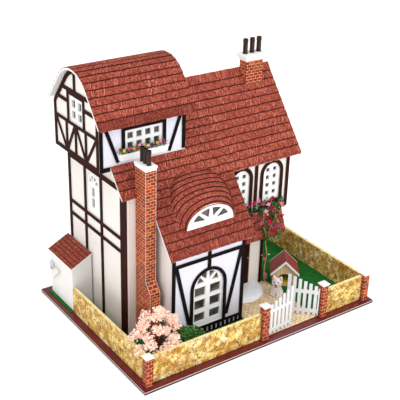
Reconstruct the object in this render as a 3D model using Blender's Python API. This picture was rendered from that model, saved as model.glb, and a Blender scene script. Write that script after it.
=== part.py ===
"""Half-timbered wooden dollhouse on a garden board, as an assembly of separate pieces.

Site coordinates, in millimetres: x runs along the front edge of the board from its left end, y runs
from the front edge to the back, and z is the height above the top of the board. The part's own frame
has its origin at the centre of the board's underside, in metres, with +Z up.
"""

import math

import bmesh
import bpy
from mathutils import Matrix, Vector
from mathutils.geometry import delaunay_2d_cdt

MM = 0.001
GAP = 0.3

# Board and ground
BOARD_X = 280.0
BOARD_Y = 205.0
BOARD_T = 3.0
GROUND_T = 0.7
PATH_T = 0.6
FLOOR_Z = 1.3

# House shell: outer faces of the walls
WALL_T = 2.5
HOUSE_LEFT = 31.65
HOUSE_FRONT = 81.0
HOUSE_BACK = 192.0
WING_LEFT = 57.4
WING_RIGHT = 141.6
WING_FRONT = 45.9
GROUND_RIGHT = 202.0
RECESS_FRONT = 92.0
UPPER_RIGHT = 224.7
UPPER_FRONT = 85.0
STOREY_1 = 88.0
STOREY_2 = 150.0
FLOOR_T = 2.3

# Main roof: a straight pitch on both sides of the ridge
RIDGE_Y = 140.18
RIDGE_Z = 226.5
PITCH = 1.25
ROOF_DROP = 2.2
ROOF_LEFT = 25.15
ROOF_RIGHT = 234.5
EAVE_Y = 78.8
WING_EAVE_Y = 38.1
WING_ROOF_LEFT = 50.9
WING_ROOF_RIGHT = 148.1

# Gabled box that stands on the roof and juts out to the left
BOX_LEFT = 14.64
BOX_RIGHT = 105.57
BOX_FRONT = 99.0
BOX_BACK = 181.95
BOX_BOTTOM = 170.15
BARREL_Y = 134.8
BARREL_HALF = 47.3
BARREL_EAVE_Z = 216.0
BARREL_RISE = 39.5
BARREL_TILT = 3.5
BARREL_T = 1.8
BARREL_LEFT = 8.44
BARREL_RIGHT = 109.5

# Fence
FENCE_H = 28.7
FENCE_T = 3.2
FENCE_LEFT = 7.9
FENCE_FRONT = 8.3
FENCE_RIGHT = 272.4
POST = 6.9
POST_MARGIN = 4.46
POST_H = 32.5
GATE_POST_H = 39.2
GATE_LEFT_POST = 136.4
GATE_RIGHT_POST = 210.8

SITE_ORIGIN = Vector((BOARD_X / 2, BOARD_Y / 2, -BOARD_T))


# ---------------------------------------------------------------- shared tools


def clear_scene():
    for old in list(bpy.data.objects):
        bpy.data.objects.remove(old, do_unlink=True)


def material(name, colour, roughness, metallic=0.0):
    """One Principled material by name, made once."""
    found = bpy.data.materials.get(name)
    if found:
        return found
    made = bpy.data.materials.new(name)
    made.use_nodes = True
    shader = made.node_tree.nodes["Principled BSDF"]
    shader.inputs["Base Color"].default_value = (*colour, 1.0)
    shader.inputs["Roughness"].default_value = roughness
    shader.inputs["Metallic"].default_value = metallic
    return made


def plaster():
    return material("cream_plaster", (0.80, 0.76, 0.72), 0.75)


def white_wood():
    return material("white_paint", (0.85, 0.84, 0.82), 0.45)


def dark_timber():
    return material("dark_timber", (0.045, 0.02, 0.016), 0.5)


def shingle():
    return material("red_shingle", (0.36, 0.075, 0.05), 0.85)


def brick():
    return material("red_brick", (0.55, 0.12, 0.04), 0.7)


def plywood():
    return material("plywood", (0.62, 0.45, 0.27), 0.6)


def frame(origin, u, v):
    """Matrix with the drawing plane's u and v as its X and Y, and u x v as its extrusion axis."""
    u = Vector(u).normalized()
    v = Vector(v).normalized()
    turned = Matrix((u, v, u.cross(v))).transposed().to_4x4()
    turned.translation = (Vector(origin) - SITE_ORIGIN) * MM
    return turned


def plan(x=0.0, y=0.0, z=0.0):
    """Drawn in x and y, extruded upwards."""
    return frame((x, y, z), (1, 0, 0), (0, 1, 0))


def front_face(y):
    """Drawn in x and z on a face that looks to the front; positive depth comes forward."""
    return frame((0, y, 0), (1, 0, 0), (0, 0, 1))


def side_face(x):
    """Drawn in y and z on a plane of constant x; positive depth runs to the right."""
    return frame((x, 0, 0), (0, 1, 0), (0, 0, 1))


def new_object(name, bm, place, finish):
    """A mesh drawn in millimetres becomes an object in metres at its place."""
    bmesh.ops.remove_doubles(bm, verts=bm.verts, dist=1e-5)
    bmesh.ops.recalc_face_normals(bm, faces=bm.faces)
    bmesh.ops.scale(bm, vec=(MM, MM, MM), verts=bm.verts)
    mesh = bpy.data.meshes.new(name)
    bm.to_mesh(mesh)
    bm.free()
    mesh.materials.append(finish)
    made = bpy.data.objects.new(name, mesh)
    made.matrix_world = place
    bpy.context.scene.collection.objects.link(made)
    return made


def smooth(made, angle=40.0):
    made.data.shade_smooth()
    made.data.set_sharp_from_angle(angle=math.radians(angle))
    return made


def height(value, a, b):
    return value(a, b) if callable(value) else value


def anticlockwise(polygon):
    """The same outline, run anticlockwise."""
    area = sum(p[0] * q[1] - q[0] * p[1] for p, q in zip(polygon, polygon[1:] + polygon[:1]))
    return polygon if area > 0 else polygon[::-1]


def prism(name, solids, holes, place, low, high, finish):
    """Polygons joined in their plane, less the holes, extruded from low to high.

    low and high are depths in millimetres, or linear functions of the two drawing coordinates.
    """
    points = []
    loops = []
    for polygon in list(solids) + list(holes):
        loops.append(list(range(len(points), len(points) + len(polygon))))
        points.extend(Vector(p) for p in anticlockwise(polygon))
    flat, _, triangles, _, _, inside = delaunay_2d_cdt(points, [], loops, 0, 1e-5, True)
    solid_count = len(solids)
    kept = [
        tri
        for tri, owners in zip(triangles, inside)
        if owners and min(owners) < solid_count and max(owners) < solid_count
    ]
    bm = bmesh.new()
    used = sorted({index for tri in kept for index in tri})
    bottom = {i: bm.verts.new((*flat[i], height(low, *flat[i]))) for i in used}
    top = {i: bm.verts.new((*flat[i], height(high, *flat[i]))) for i in used}
    edges = {}
    for tri in kept:
        bm.faces.new([bottom[i] for i in reversed(tri)])
        bm.faces.new([top[i] for i in tri])
        for a, b in zip(tri, tri[1:] + tri[:1]):
            edges[(a, b)] = edges.get((a, b), 0) + 1
    for a, b in edges:
        if (b, a) not in edges:
            bm.faces.new([bottom[a], bottom[b], top[b], top[a]])
    return new_object(name, bm, place, finish)


def box(x0, x1, y0, y1):
    return [(x0, y0), (x1, y0), (x1, y1), (x0, y1)]


def strip(p, q, width):
    """A straight bar of the given width between two points."""
    p = Vector(p)
    q = Vector(q)
    across = (q - p).normalized().orthogonal() * (width / 2)
    return [p - across, q - across, q + across, p + across]


def arc(cx, cy, rx, ry, start, end, count):
    """Points on an ellipse from one angle to another, in degrees."""
    turns = (math.radians(start + (end - start) * i / count) for i in range(count + 1))
    return [(cx + rx * math.cos(t), cy + ry * math.sin(t)) for t in turns]


def arched(cx, half, bottom, top, count=12):
    """A round-headed opening."""
    return [(cx - half, bottom), (cx + half, bottom)] + arc(cx, top - half, half, half, 0, 180, count)


def loft(name, rings, place, finish):
    """Rings of points, each the same count, joined in order and capped at both ends."""
    bm = bmesh.new()
    rows = [[bm.verts.new(p) for p in ring] for ring in rings]
    for lower, upper in zip(rows, rows[1:]):
        for i in range(len(lower)):
            j = (i + 1) % len(lower)
            bm.faces.new([lower[i], lower[j], upper[j], upper[i]])
    bm.faces.new(list(reversed(rows[0])))
    bm.faces.new(rows[-1])
    return new_object(name, bm, place, finish)


def square_ring(half_x, half_y, z):
    return [(-half_x, -half_y, z), (half_x, -half_y, z), (half_x, half_y, z), (-half_x, half_y, z)]


def round_ring(radius, z, count=12, cx=0.0, cy=0.0):
    return [(x, y, z) for x, y in arc(cx, cy, radius, radius, 0, 360, count)[:-1]]


def ellipsoid(name, centre, radii, finish, rings=6, count=10, place=None):
    """A low ball whose rings shrink to small caps at its two poles."""
    rows = []
    for i in range(rings + 1):
        tilt = math.radians(-80 + 160 * i / rings)
        wide = math.cos(tilt)
        rows.append(
            [
                (centre[0] + x * wide, centre[1] + y * wide, centre[2] + radii[2] * math.sin(tilt))
                for x, y in arc(0, 0, radii[0], radii[1], 0, 360, count)[:-1]
            ]
        )
    return loft(name, rows, place or plan(), finish)


def fuse(name, pieces):
    """Overlapping solids become one body, which keeps the first one's place and material."""
    first = pieces[0]
    for other in pieces[1:]:
        union = first.modifiers.new("union", "BOOLEAN")
        union.operation = "UNION"
        union.solver = "EXACT"
        union.object = other
    bpy.context.view_layer.update()
    graph = bpy.context.evaluated_depsgraph_get()
    joined = bpy.data.meshes.new_from_object(first.evaluated_get(graph))
    made = bpy.data.objects.new(name, joined)
    made.matrix_world = first.matrix_world.copy()
    bpy.context.scene.collection.objects.link(made)
    for piece in pieces:
        bpy.data.objects.remove(piece, do_unlink=True)
    return made


def front_roof(y):
    """Outer surface of the front slope."""
    return RIDGE_Z - PITCH * (RIDGE_Y - y)


def back_roof(y):
    """Outer surface of the back slope."""
    return RIDGE_Z - PITCH * (y - RIDGE_Y)


def under_front(y):
    """Top of a wall that stands under the front slope."""
    return front_roof(y) - ROOF_DROP - 2 * GAP


def under_back(y):
    return back_roof(y) - ROOF_DROP - 2 * GAP


# ---------------------------------------------------------------- ground


def build_ground():
    board = material("maroon_lacquer", (0.16, 0.02, 0.02), 0.25)
    grass = material("grass", (0.02, 0.13, 0.03), 0.95)
    paving = material("tan_paving", (0.72, 0.55, 0.33), 0.8)
    prism("base_board", [box(0, BOARD_X, 0, BOARD_Y)], [], plan(), -BOARD_T, 0, board)
    yard = box(FENCE_LEFT + FENCE_T + GAP, FENCE_RIGHT - FENCE_T - GAP, FENCE_FRONT + FENCE_T + GAP, 200)
    beside_shed = box(4.9, FENCE_LEFT + FENCE_T + 1, 148 + GAP, 197.6)
    path = box(144.2, 208.4, FENCE_FRONT, RECESS_FRONT - GAP)
    outside_path = box(144.2 - GAP, 208.4 + GAP, 0, RECESS_FRONT)
    under_posts = [
        box(x - 1, x + POST + 1, 0, POST_MARGIN + POST + 1)
        for x in (POST_MARGIN, GATE_LEFT_POST, GATE_RIGHT_POST, BOARD_X - POST_MARGIN - POST)
    ]
    prism("lawn", [yard, beside_shed], [outside_path] + under_posts, plan(), GAP, GAP + GROUND_T, grass)
    prism("path", [path], [], plan(), GAP, GAP + PATH_T, paving)


# ---------------------------------------------------------------- fence and gate


def build_fence():
    stone = material("yellow_stone", (0.72, 0.50, 0.18), 0.8)
    runs = {
        "garden_wall_left": (FENCE_LEFT, FENCE_LEFT + FENCE_T, POST_MARGIN + POST + GAP, 148.0),
        "garden_wall_front_left": (POST_MARGIN + POST + GAP, GATE_LEFT_POST - GAP, FENCE_FRONT,
                                   FENCE_FRONT + FENCE_T),
        "garden_wall_front_right": (GATE_RIGHT_POST + POST + GAP, BOARD_X - POST_MARGIN - POST - GAP,
                                    FENCE_FRONT, FENCE_FRONT + FENCE_T),
        "garden_wall_right": (FENCE_RIGHT - FENCE_T, FENCE_RIGHT, POST_MARGIN + POST + GAP, 200.0),
    }
    for name, (x0, x1, y0, y1) in runs.items():
        prism(name, [box(x0, x1, y0, y1)], [], plan(), GAP, FENCE_H, stone)

    posts = {
        "post_corner_left": (POST_MARGIN, POST_H),
        "post_gate_left": (GATE_LEFT_POST, GATE_POST_H),
        "post_gate_right": (GATE_RIGHT_POST, GATE_POST_H),
        "post_corner_right": (BOARD_X - POST_MARGIN - POST, POST_H),
    }
    half = POST / 2
    cap = half + 0.9
    for name, (x0, top) in posts.items():
        rings = [
            square_ring(half, half, GAP),
            square_ring(half, half, top - 2.2),
            square_ring(cap, cap, top - 2.2),
            square_ring(cap, cap, top - 0.9),
            square_ring(0.6, 0.6, top),
        ]
        loft(name, rings, plan(x0 + half, POST_MARGIN + half), brick())


LEAF_PITCH = 5.4
LEAF_PICKETS = 6
LEAF_PICKET_W = 3.2
LEAF_T = 1.3
HINGE_Y = 8.0
HINGE_LEFT_X = 144.9
HINGE_RIGHT_X = 209.2
LEFT_LEAF_OPEN = 6.0
RIGHT_LEAF_OPEN = 45.0


def build_gate():
    """Each leaf is drawn from its hinge axis outwards, then turned to its resting angle."""
    rails = [(4.8, 8.4), (26.6, 30.2)]
    last = 1.8 + LEAF_PITCH * (LEAF_PICKETS - 1) + LEAF_PICKET_W
    for name, hinge_x, turn in (
        ("gate_leaf_left", HINGE_LEFT_X, LEFT_LEAF_OPEN),
        ("gate_leaf_right", HINGE_RIGHT_X, 180.0 - RIGHT_LEAF_OPEN),
    ):
        bars = [box(0.4, last, low, high) for low, high in rails]
        bars.append(box(-0.5, 0.9, 2.0, 33.0))
        for k in range(LEAF_PICKETS):
            x0 = 1.8 + LEAF_PITCH * k
            top = 35.4 + 2.15 * k
            bars.append(box(x0, x0 + LEAF_PICKET_W, 1.6, top))
        angle = math.radians(turn)
        along = (math.cos(angle), math.sin(angle), 0)
        place = frame((hinge_x, HINGE_Y, 0), along, (0, 0, 1))
        prism(name, bars, [], place, -LEAF_T / 2, LEAF_T / 2, white_wood())


# ---------------------------------------------------------------- lower walls

WING_WINDOW = (99.5, 17.5, 10.6, 71.2)
TALL_WINDOW = (143.2, 12.2, 106.0, 150.0)
UPPER_WINDOWS = {"window_upper_left": 163.6, "window_upper_right": 202.4}
UPPER_WINDOW_HALF = 10.8
UPPER_WINDOW_BOTTOM = 102.0
UPPER_WINDOW_TOP = 142.8
DOOR = (156.0, 186.0, FLOOR_Z, 72.0)


def build_lower_walls():
    left = [
        (HOUSE_FRONT, FLOOR_Z),
        (HOUSE_BACK, FLOOR_Z),
        (HOUSE_BACK, under_back(HOUSE_BACK)),
        (RIDGE_Y + (RIDGE_Z - ROOF_DROP - 2 * GAP - BOX_BOTTOM + GAP) / PITCH, BOX_BOTTOM - GAP),
        (RIDGE_Y - (RIDGE_Z - ROOF_DROP - 2 * GAP - BOX_BOTTOM + GAP) / PITCH, BOX_BOTTOM - GAP),
        (HOUSE_FRONT, under_front(HOUSE_FRONT)),
    ]
    prism("wall_left", [left], [arched(*TALL_WINDOW)], side_face(HOUSE_LEFT), 0, WALL_T, plaster())

    corner = [
        box(HOUSE_LEFT + WALL_T + GAP, WING_LEFT + WALL_T, HOUSE_FRONT, HOUSE_FRONT + WALL_T),
        box(WING_LEFT, WING_LEFT + WALL_T, WING_FRONT + WALL_T + GAP, HOUSE_FRONT + WALL_T),
    ]
    prism("wall_front_left", corner, [], plan(), FLOOR_Z, lambda x, y: under_front(y), plaster())

    prism(
        "wall_wing_front",
        [box(WING_LEFT, WING_RIGHT, FLOOR_Z, under_front(WING_FRONT))],
        [arched(*WING_WINDOW)],
        front_face(WING_FRONT),
        -WALL_T,
        0,
        plaster(),
    )

    behind_upper = UPPER_FRONT - GAP
    wing_side = [
        (WING_FRONT + WALL_T + GAP, FLOOR_Z),
        (RECESS_FRONT - GAP, FLOOR_Z),
        (RECESS_FRONT - GAP, STOREY_1 - GAP),
        (behind_upper, STOREY_1 - GAP),
        (behind_upper, under_front(behind_upper)),
        (WING_FRONT + WALL_T + GAP, under_front(WING_FRONT + WALL_T + GAP)),
    ]
    prism("wall_wing_right", [wing_side], [], side_face(WING_RIGHT - WALL_T), 0, WALL_T, plaster())

    prism(
        "wall_recess",
        [box(WING_RIGHT - WALL_T, GROUND_RIGHT, FLOOR_Z, STOREY_1 - GAP)],
        [box(DOOR[0], DOOR[1], 0, DOOR[3])],
        front_face(RECESS_FRONT),
        -WALL_T,
        0,
        plaster(),
    )
    prism(
        "wall_ground_right",
        [box(RECESS_FRONT + WALL_T + GAP, HOUSE_BACK, FLOOR_Z, STOREY_1 - GAP)],
        [],
        side_face(GROUND_RIGHT - WALL_T),
        0,
        WALL_T,
        plaster(),
    )


def build_upper_walls():
    above_floor = STOREY_1 + FLOOR_T + GAP
    openings = [
        arched(centre, UPPER_WINDOW_HALF, UPPER_WINDOW_BOTTOM, UPPER_WINDOW_TOP)
        for centre in UPPER_WINDOWS.values()
    ]
    prism(
        "wall_upper_front",
        [box(WING_RIGHT + GAP, UPPER_RIGHT, above_floor, under_front(UPPER_FRONT))],
        openings,
        front_face(UPPER_FRONT),
        -WALL_T,
        0,
        plaster(),
    )
    inner_front = UPPER_FRONT + WALL_T + GAP
    gable = [
        (inner_front, above_floor),
        (HOUSE_BACK, above_floor),
        (HOUSE_BACK, under_back(HOUSE_BACK)),
        (RIDGE_Y, under_front(RIDGE_Y)),
        (inner_front, under_front(inner_front)),
    ]
    prism("wall_upper_right", [gable], [], side_face(UPPER_RIGHT - WALL_T), 0, WALL_T, plaster())


STAIR_X = 148.0
STAIR_Y = 166.0
STAIR_W = 20.0
STAIR_STEPS = 12
STAIR_RUN = 3.9


def build_floors():
    inside_left = HOUSE_LEFT + WALL_T + GAP
    inside_front = HOUSE_FRONT + WALL_T + GAP
    wing_inside = WING_FRONT + WALL_T + GAP
    stair_end = STAIR_X + STAIR_STEPS * STAIR_RUN
    well = box(STAIR_X - 2, stair_end + 1, STAIR_Y - 1.5, STAIR_Y + STAIR_W + 1.5)
    first = [
        (inside_left, inside_front),
        (WING_LEFT + WALL_T + GAP, inside_front),
        (WING_LEFT + WALL_T + GAP, wing_inside),
        (WING_RIGHT - WALL_T - GAP, wing_inside),
        (WING_RIGHT - WALL_T - GAP, UPPER_FRONT),
        (UPPER_RIGHT, UPPER_FRONT),
        (UPPER_RIGHT, HOUSE_BACK),
        (inside_left, HOUSE_BACK),
    ]
    prism("floor_first", [first], [well], plan(), STOREY_1, STOREY_1 + FLOOR_T, plywood())
    attic = box(inside_left, UPPER_RIGHT - WALL_T - GAP, UPPER_FRONT + WALL_T + GAP, HOUSE_BACK)
    prism("floor_attic", [attic], [], plan(), STOREY_2, STOREY_2 + FLOOR_T, plywood())

    rise = (STOREY_1 - GAP - FLOOR_Z) / STAIR_STEPS
    teeth = [(STAIR_X, FLOOR_Z)]
    for k in range(STAIR_STEPS):
        teeth.append((STAIR_X + k * STAIR_RUN, FLOOR_Z + (k + 1) * rise))
        teeth.append((STAIR_X + (k + 1) * STAIR_RUN, FLOOR_Z + (k + 1) * rise))
    teeth.append((stair_end, FLOOR_Z + (STAIR_STEPS - 1.2) * rise))
    teeth.append((STAIR_X + 1.6 * STAIR_RUN, FLOOR_Z))
    prism("stairs", [teeth], [], front_face(STAIR_Y), -STAIR_W, 0, plywood())


# ---------------------------------------------------------------- gabled box and its barrel roof


def barrel_curve(drop=0.0, count=8):
    """Section of the barrel roof from the front eave to the back eave, moved inwards by drop.

    A straight pitch rises from each eave and a quadratic curve rounds it over to the flat crown. The whole
    roof sits a little askew, with its back eave higher than its front one by BARREL_TILT.
    """
    knee_x = 26.0
    knee_z = (BARREL_HALF - knee_x) * PITCH
    control_x = knee_x - (BARREL_RISE - knee_z) / PITCH
    side = [(BARREL_HALF, 0.0)]
    for i in range(count + 1):
        t = i / count
        side.append(
            (
                (1 - t) ** 2 * knee_x + 2 * t * (1 - t) * control_x,
                (1 - t) ** 2 * knee_z + (2 * t * (1 - t) + t * t) * BARREL_RISE,
            )
        )
    level = [(-x, z) for x, z in side] + [(x, z) for x, z in reversed(side[:-1])]
    full = [(x, z + BARREL_TILT * (x + BARREL_HALF) / (2 * BARREL_HALF)) for x, z in level]
    moved = []
    for i, (x, z) in enumerate(full):
        before = Vector(full[max(i - 1, 0)])
        after = Vector(full[min(i + 1, len(full) - 1)])
        along = (after - before).normalized()
        moved.append((BARREL_Y + x + along.y * drop, BARREL_EAVE_Z + z - along.x * drop))
    return moved


BOX_WINDOW = (40.7, 80.8, 182.6, 206.0)
BOX_SIDE_WINDOW = (126.2, 152.4, 203.0, 229.0)


def under_barrel(low, high, drop):
    """The barrel's curve moved inwards by drop, cut at two places along y; its last stretch runs on past the
    eave if the second place lies beyond it."""
    curve = barrel_curve(drop)
    points = [p for p in curve if low < p[0] < high]
    for y, place in ((low, 0), (high, len(points) + 1)):
        pairs = [(a, b) for a, b in zip(curve, curve[1:]) if a[0] <= y <= b[0]]
        before, after = pairs[0] if pairs else curve[-2:]
        share = (y - before[0]) / (after[0] - before[0])
        points.insert(place, (y, before[1] + share * (after[1] - before[1])))
    return points


def box_gable():
    """Side wall of the box, under the curve of its roof."""
    top = under_barrel(BOX_FRONT, BOX_BACK, BARREL_T + 2 * GAP)
    return [(BOX_FRONT, BOX_BOTTOM), (BOX_BACK, BOX_BOTTOM), *reversed(top)]


def build_box():
    gable = box_gable()
    window = box(*BOX_SIDE_WINDOW)
    prism("box_wall_left", [gable], [window], side_face(BOX_LEFT), 0, WALL_T, plaster())
    inside_front = BOX_FRONT + WALL_T + GAP
    right = [(max(y, inside_front), z) for y, z in gable]
    prism("box_wall_right", [right], [], side_face(BOX_RIGHT - WALL_T), 0, WALL_T, plaster())
    prism(
        "box_wall_front",
        [box(BOX_LEFT + WALL_T + GAP, BOX_RIGHT, BOX_BOTTOM, gable[-1][1])],
        [box(*BOX_WINDOW)],
        front_face(BOX_FRONT),
        -WALL_T,
        0,
        plaster(),
    )
    floor = box(BOX_LEFT + WALL_T + GAP, BOX_RIGHT - WALL_T - GAP, inside_front, BOX_BACK)
    prism("box_floor", [floor], [], plan(), BOX_BOTTOM, BOX_BOTTOM + 2, plywood())
    band = barrel_curve(0) + list(reversed(barrel_curve(BARREL_T)))
    long = BARREL_RIGHT - BARREL_LEFT
    smooth(prism("roof_barrel", [band], [], side_face(BARREL_LEFT), 0, long, shingle()))


# ---------------------------------------------------------------- roofs


def build_roofs():
    clear_of_box = BOX_RIGHT + GAP
    front = [
        (ROOF_LEFT, EAVE_Y),
        (40.0, EAVE_Y),
        (40.0, HOUSE_FRONT + GAP),
        (51.6, HOUSE_FRONT + GAP),
        (54.0, HOUSE_FRONT + GAP),
        (54.0, 67.0),
        (WING_ROOF_LEFT, 62.8),
        (WING_ROOF_LEFT, WING_EAVE_Y),
        (WING_ROOF_RIGHT, WING_EAVE_Y),
        (WING_ROOF_RIGHT, EAVE_Y),
        (ROOF_RIGHT, EAVE_Y),
        (ROOF_RIGHT, RIDGE_Y - GAP / 2),
        (clear_of_box, RIDGE_Y - GAP / 2),
        (clear_of_box, BOX_FRONT - GAP),
        (ROOF_LEFT, BOX_FRONT - GAP),
    ]
    prism(
        "roof_front",
        [front],
        [],
        plan(),
        lambda x, y: front_roof(y) - ROOF_DROP,
        lambda x, y: front_roof(y),
        shingle(),
    )
    back = [
        (clear_of_box, RIDGE_Y + GAP / 2),
        (ROOF_RIGHT, RIDGE_Y + GAP / 2),
        (ROOF_RIGHT, HOUSE_BACK + GAP),
        (ROOF_LEFT, HOUSE_BACK + GAP),
        (ROOF_LEFT, BOX_BACK + GAP),
        (clear_of_box, BOX_BACK + GAP),
    ]
    prism(
        "roof_back",
        [back],
        [],
        plan(),
        lambda x, y: back_roof(y) - ROOF_DROP,
        lambda x, y: back_roof(y),
        shingle(),
    )
    eave_y = 74.5
    eave_z = 68.5
    steep = 2.45
    prism(
        "roof_porch",
        [box(WING_RIGHT + GAP, 217.0, eave_y, UPPER_FRONT - 1.5)],
        [],
        plan(),
        lambda x, y: eave_z + steep * (y - eave_y) - 3.4,
        lambda x, y: eave_z + steep * (y - eave_y),
        shingle(),
    )
    build_dormer()


DORMER_X = 103.1
DORMER_FRONT = 52.0
DORMER_BACK = 85.8
DORMER_HALF = 27.0
DORMER_H = 21.5


def dormer_ring(depth, count=14):
    """Arch of the eyebrow dormer at a depth from 0 at its face to 1 at its tail."""
    y = DORMER_FRONT + (DORMER_BACK - DORMER_FRONT) * depth
    bulge = 1.0 + 0.2 * math.sin(math.pi * min(depth / 0.55, 1.0) / 2)
    half = DORMER_HALF * bulge * max(1.0 - depth**3.2, 0.0) ** 0.45
    base = front_roof(y) + GAP
    crown = DORMER_H * max(1.0 - depth**1.15, 0.0)
    lift = base + crown
    points = []
    for x, z in arc(0, 0, half, 1.0, 180, 0, count):
        points.append((DORMER_X + x, y, base + (lift - base) * z**0.85 if z > 1e-6 else base))
    return points


def build_dormer():
    stations = [0.0, 0.12, 0.26, 0.42, 0.58, 0.74, 0.87, 0.96]
    smooth(loft("roof_dormer", [dormer_ring(d) for d in stations], plan(), shingle()), 50)
    outline = arc(DORMER_X, 0, DORMER_HALF - 0.6, DORMER_H - 0.8, 0, 180, 14)
    base = front_roof(DORMER_FRONT) + GAP
    outline = [(x, z + base) for x, z in outline]
    panes = []
    for k in range(4):
        start = 16 + 39 * k
        outer = arc(DORMER_X, base + 3.0, DORMER_HALF - 6.5, DORMER_H - 7.5, start, start + 31, 3)
        inner = arc(DORMER_X, base + 3.0, 7.0, 5.0, start + 15, start + 16, 1)
        panes.append(outer + [inner[0]])
    prism("window_dormer", [outline], panes, front_face(DORMER_FRONT - GAP), 0, 1.2, white_wood())


# ---------------------------------------------------------------- chimneys


def pot(x, y, z, wide, tall):
    rings = [
        round_ring(wide * 0.95, z - 1),
        round_ring(wide * 0.82, z + tall * 0.8),
        round_ring(wide, z + tall),
    ]
    return loft("pot", rings, plan(x, y), dark_timber())


def chimney_cap(name, centre, half, margins, z, thick, pots, wide, tall):
    """Two-step cap slab with its row of pots."""
    lower = (half[0] + margins[0], half[1] + margins[0])
    upper = (half[0] + margins[1], half[1] + margins[1])
    step = z + thick * 0.45
    rings = [
        square_ring(*lower, z),
        square_ring(*lower, step),
        square_ring(*upper, step),
        square_ring(*upper, z + thick),
    ]
    slab = loft("slab", rings, plan(*centre), white_wood())
    stack = [pot(centre[0] + dx, centre[1] + dy, z + thick, wide, tall) for dx, dy in pots]
    fuse(name, [slab] + stack)


def build_chimneys():
    left = [
        (HOUSE_FRONT - GAP, FLOOR_Z),
        (55.8, FLOOR_Z),
        (55.8, 58.0),
        (63.3, 67.4),
        (63.3, 178.6),
        (HOUSE_FRONT - GAP, 178.6),
    ]
    prism("chimney_left", [left], [], side_face(40.4), 0, 10.8, brick())
    pots = [(0, -5.2), (0, 0.2), (0, 5.6)]
    chimney_cap("chimney_left_cap", (45.8, 72.0), (5.4, 8.7), (0.4, 0.9), 178.9, 4.4, pots, 2.4, 13.8)

    right = box(198.2, 218.7, 128.5, 139.6)
    prism("chimney_right", [right], [], plan(), lambda x, y: front_roof(y) + GAP, 235.6, brick())
    pots = [(-8.4, 0), (0, 0), (8.4, 0)]
    chimney_cap("chimney_right_cap", (208.45, 134.05), (10.25, 5.55), (0.9, 2.2), 235.9, 6.4, pots, 2.7, 14.8)


# ---------------------------------------------------------------- shed, door and step


def build_shed():
    low_x = 6.7
    low_z = 50.2
    rise = 0.497
    high_x = 30.1

    def slope(x, y):
        return low_z + rise * (x - low_x)

    walls = [
        (8.3, 148.5),
        (high_x, 148.5),
        (high_x, 150.5),
        (10.3, 150.5),
        (10.3, 193.4),
        (high_x, 193.4),
        (high_x, 195.4),
        (8.3, 195.4),
    ]
    prism("shed_walls", [walls], [], plan(), FLOOR_Z, lambda x, y: slope(x, y) - 2.2, white_wood())
    prism(
        "roof_shed",
        [box(low_x, high_x, 146.8, 197.1)],
        [],
        plan(),
        lambda x, y: slope(x, y) - 1.8,
        slope,
        shingle(),
    )


DOOR_HINGE = (156.5, 94.2)


def build_door():
    """The leaf swings inwards about its left edge; its origin lies on the hinge axis."""
    leaf = box(0.1, DOOR[1] - DOOR[0] - 0.9, FLOOR_Z + 0.5, DOOR[3] - 0.5)
    place = frame((DOOR_HINGE[0], DOOR_HINGE[1], 0), (1, 0, 0), (0, 0, 1))
    rings = [round_ring(radius, out, 8) for radius, out in ((0.5, 1.4), (0.5, 2.2), (1.0, 2.6), (0.7, 3.4))]
    knob = loft("knob", rings, place @ Matrix.Translation((26.0 * MM, 33.0 * MM, 0)), dark_timber())
    panel = prism("panel", [leaf], [], place, 0, 1.6, dark_timber())
    fuse("front_door", [panel, knob])

    centre = (171.0, 89.8)
    flat_y = RECESS_FRONT - GAP
    rings = []
    for radius, z, back in ((26.6, 1.2, 0.0), (26.6, 3.4, 0.0), (24.0, 3.4, 0.2), (24.0, 5.6, 0.2)):
        reach = math.degrees(math.asin((flat_y - back - centre[1]) / radius))
        rings.append([(x, y, z) for x, y in arc(*centre, radius, radius, 180 - reach, 360 + reach, 20)])
    smooth(loft("door_step", rings, plan(), white_wood()), 30)


# ---------------------------------------------------------------- windows


def pane_grid(x_edges, z_edges):
    return [box(x0, x1, z0, z1) for x0, x1 in x_edges for z0, z1 in z_edges]


def fan_panes(cx, cz, inner, outer, count, bar):
    """Wedge panes of a fan light, with a bar between each two."""
    step = 180.0 / count
    panes = []
    for k in range(count):
        start = step * k + bar
        end = step * (k + 1) - bar
        rim = arc(cx, cz, outer, outer, start, end, 3)
        middle = math.radians((start + end) / 2)
        panes.append(rim + [(cx + inner * math.cos(middle), cz + inner * math.sin(middle))])
    return panes


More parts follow.
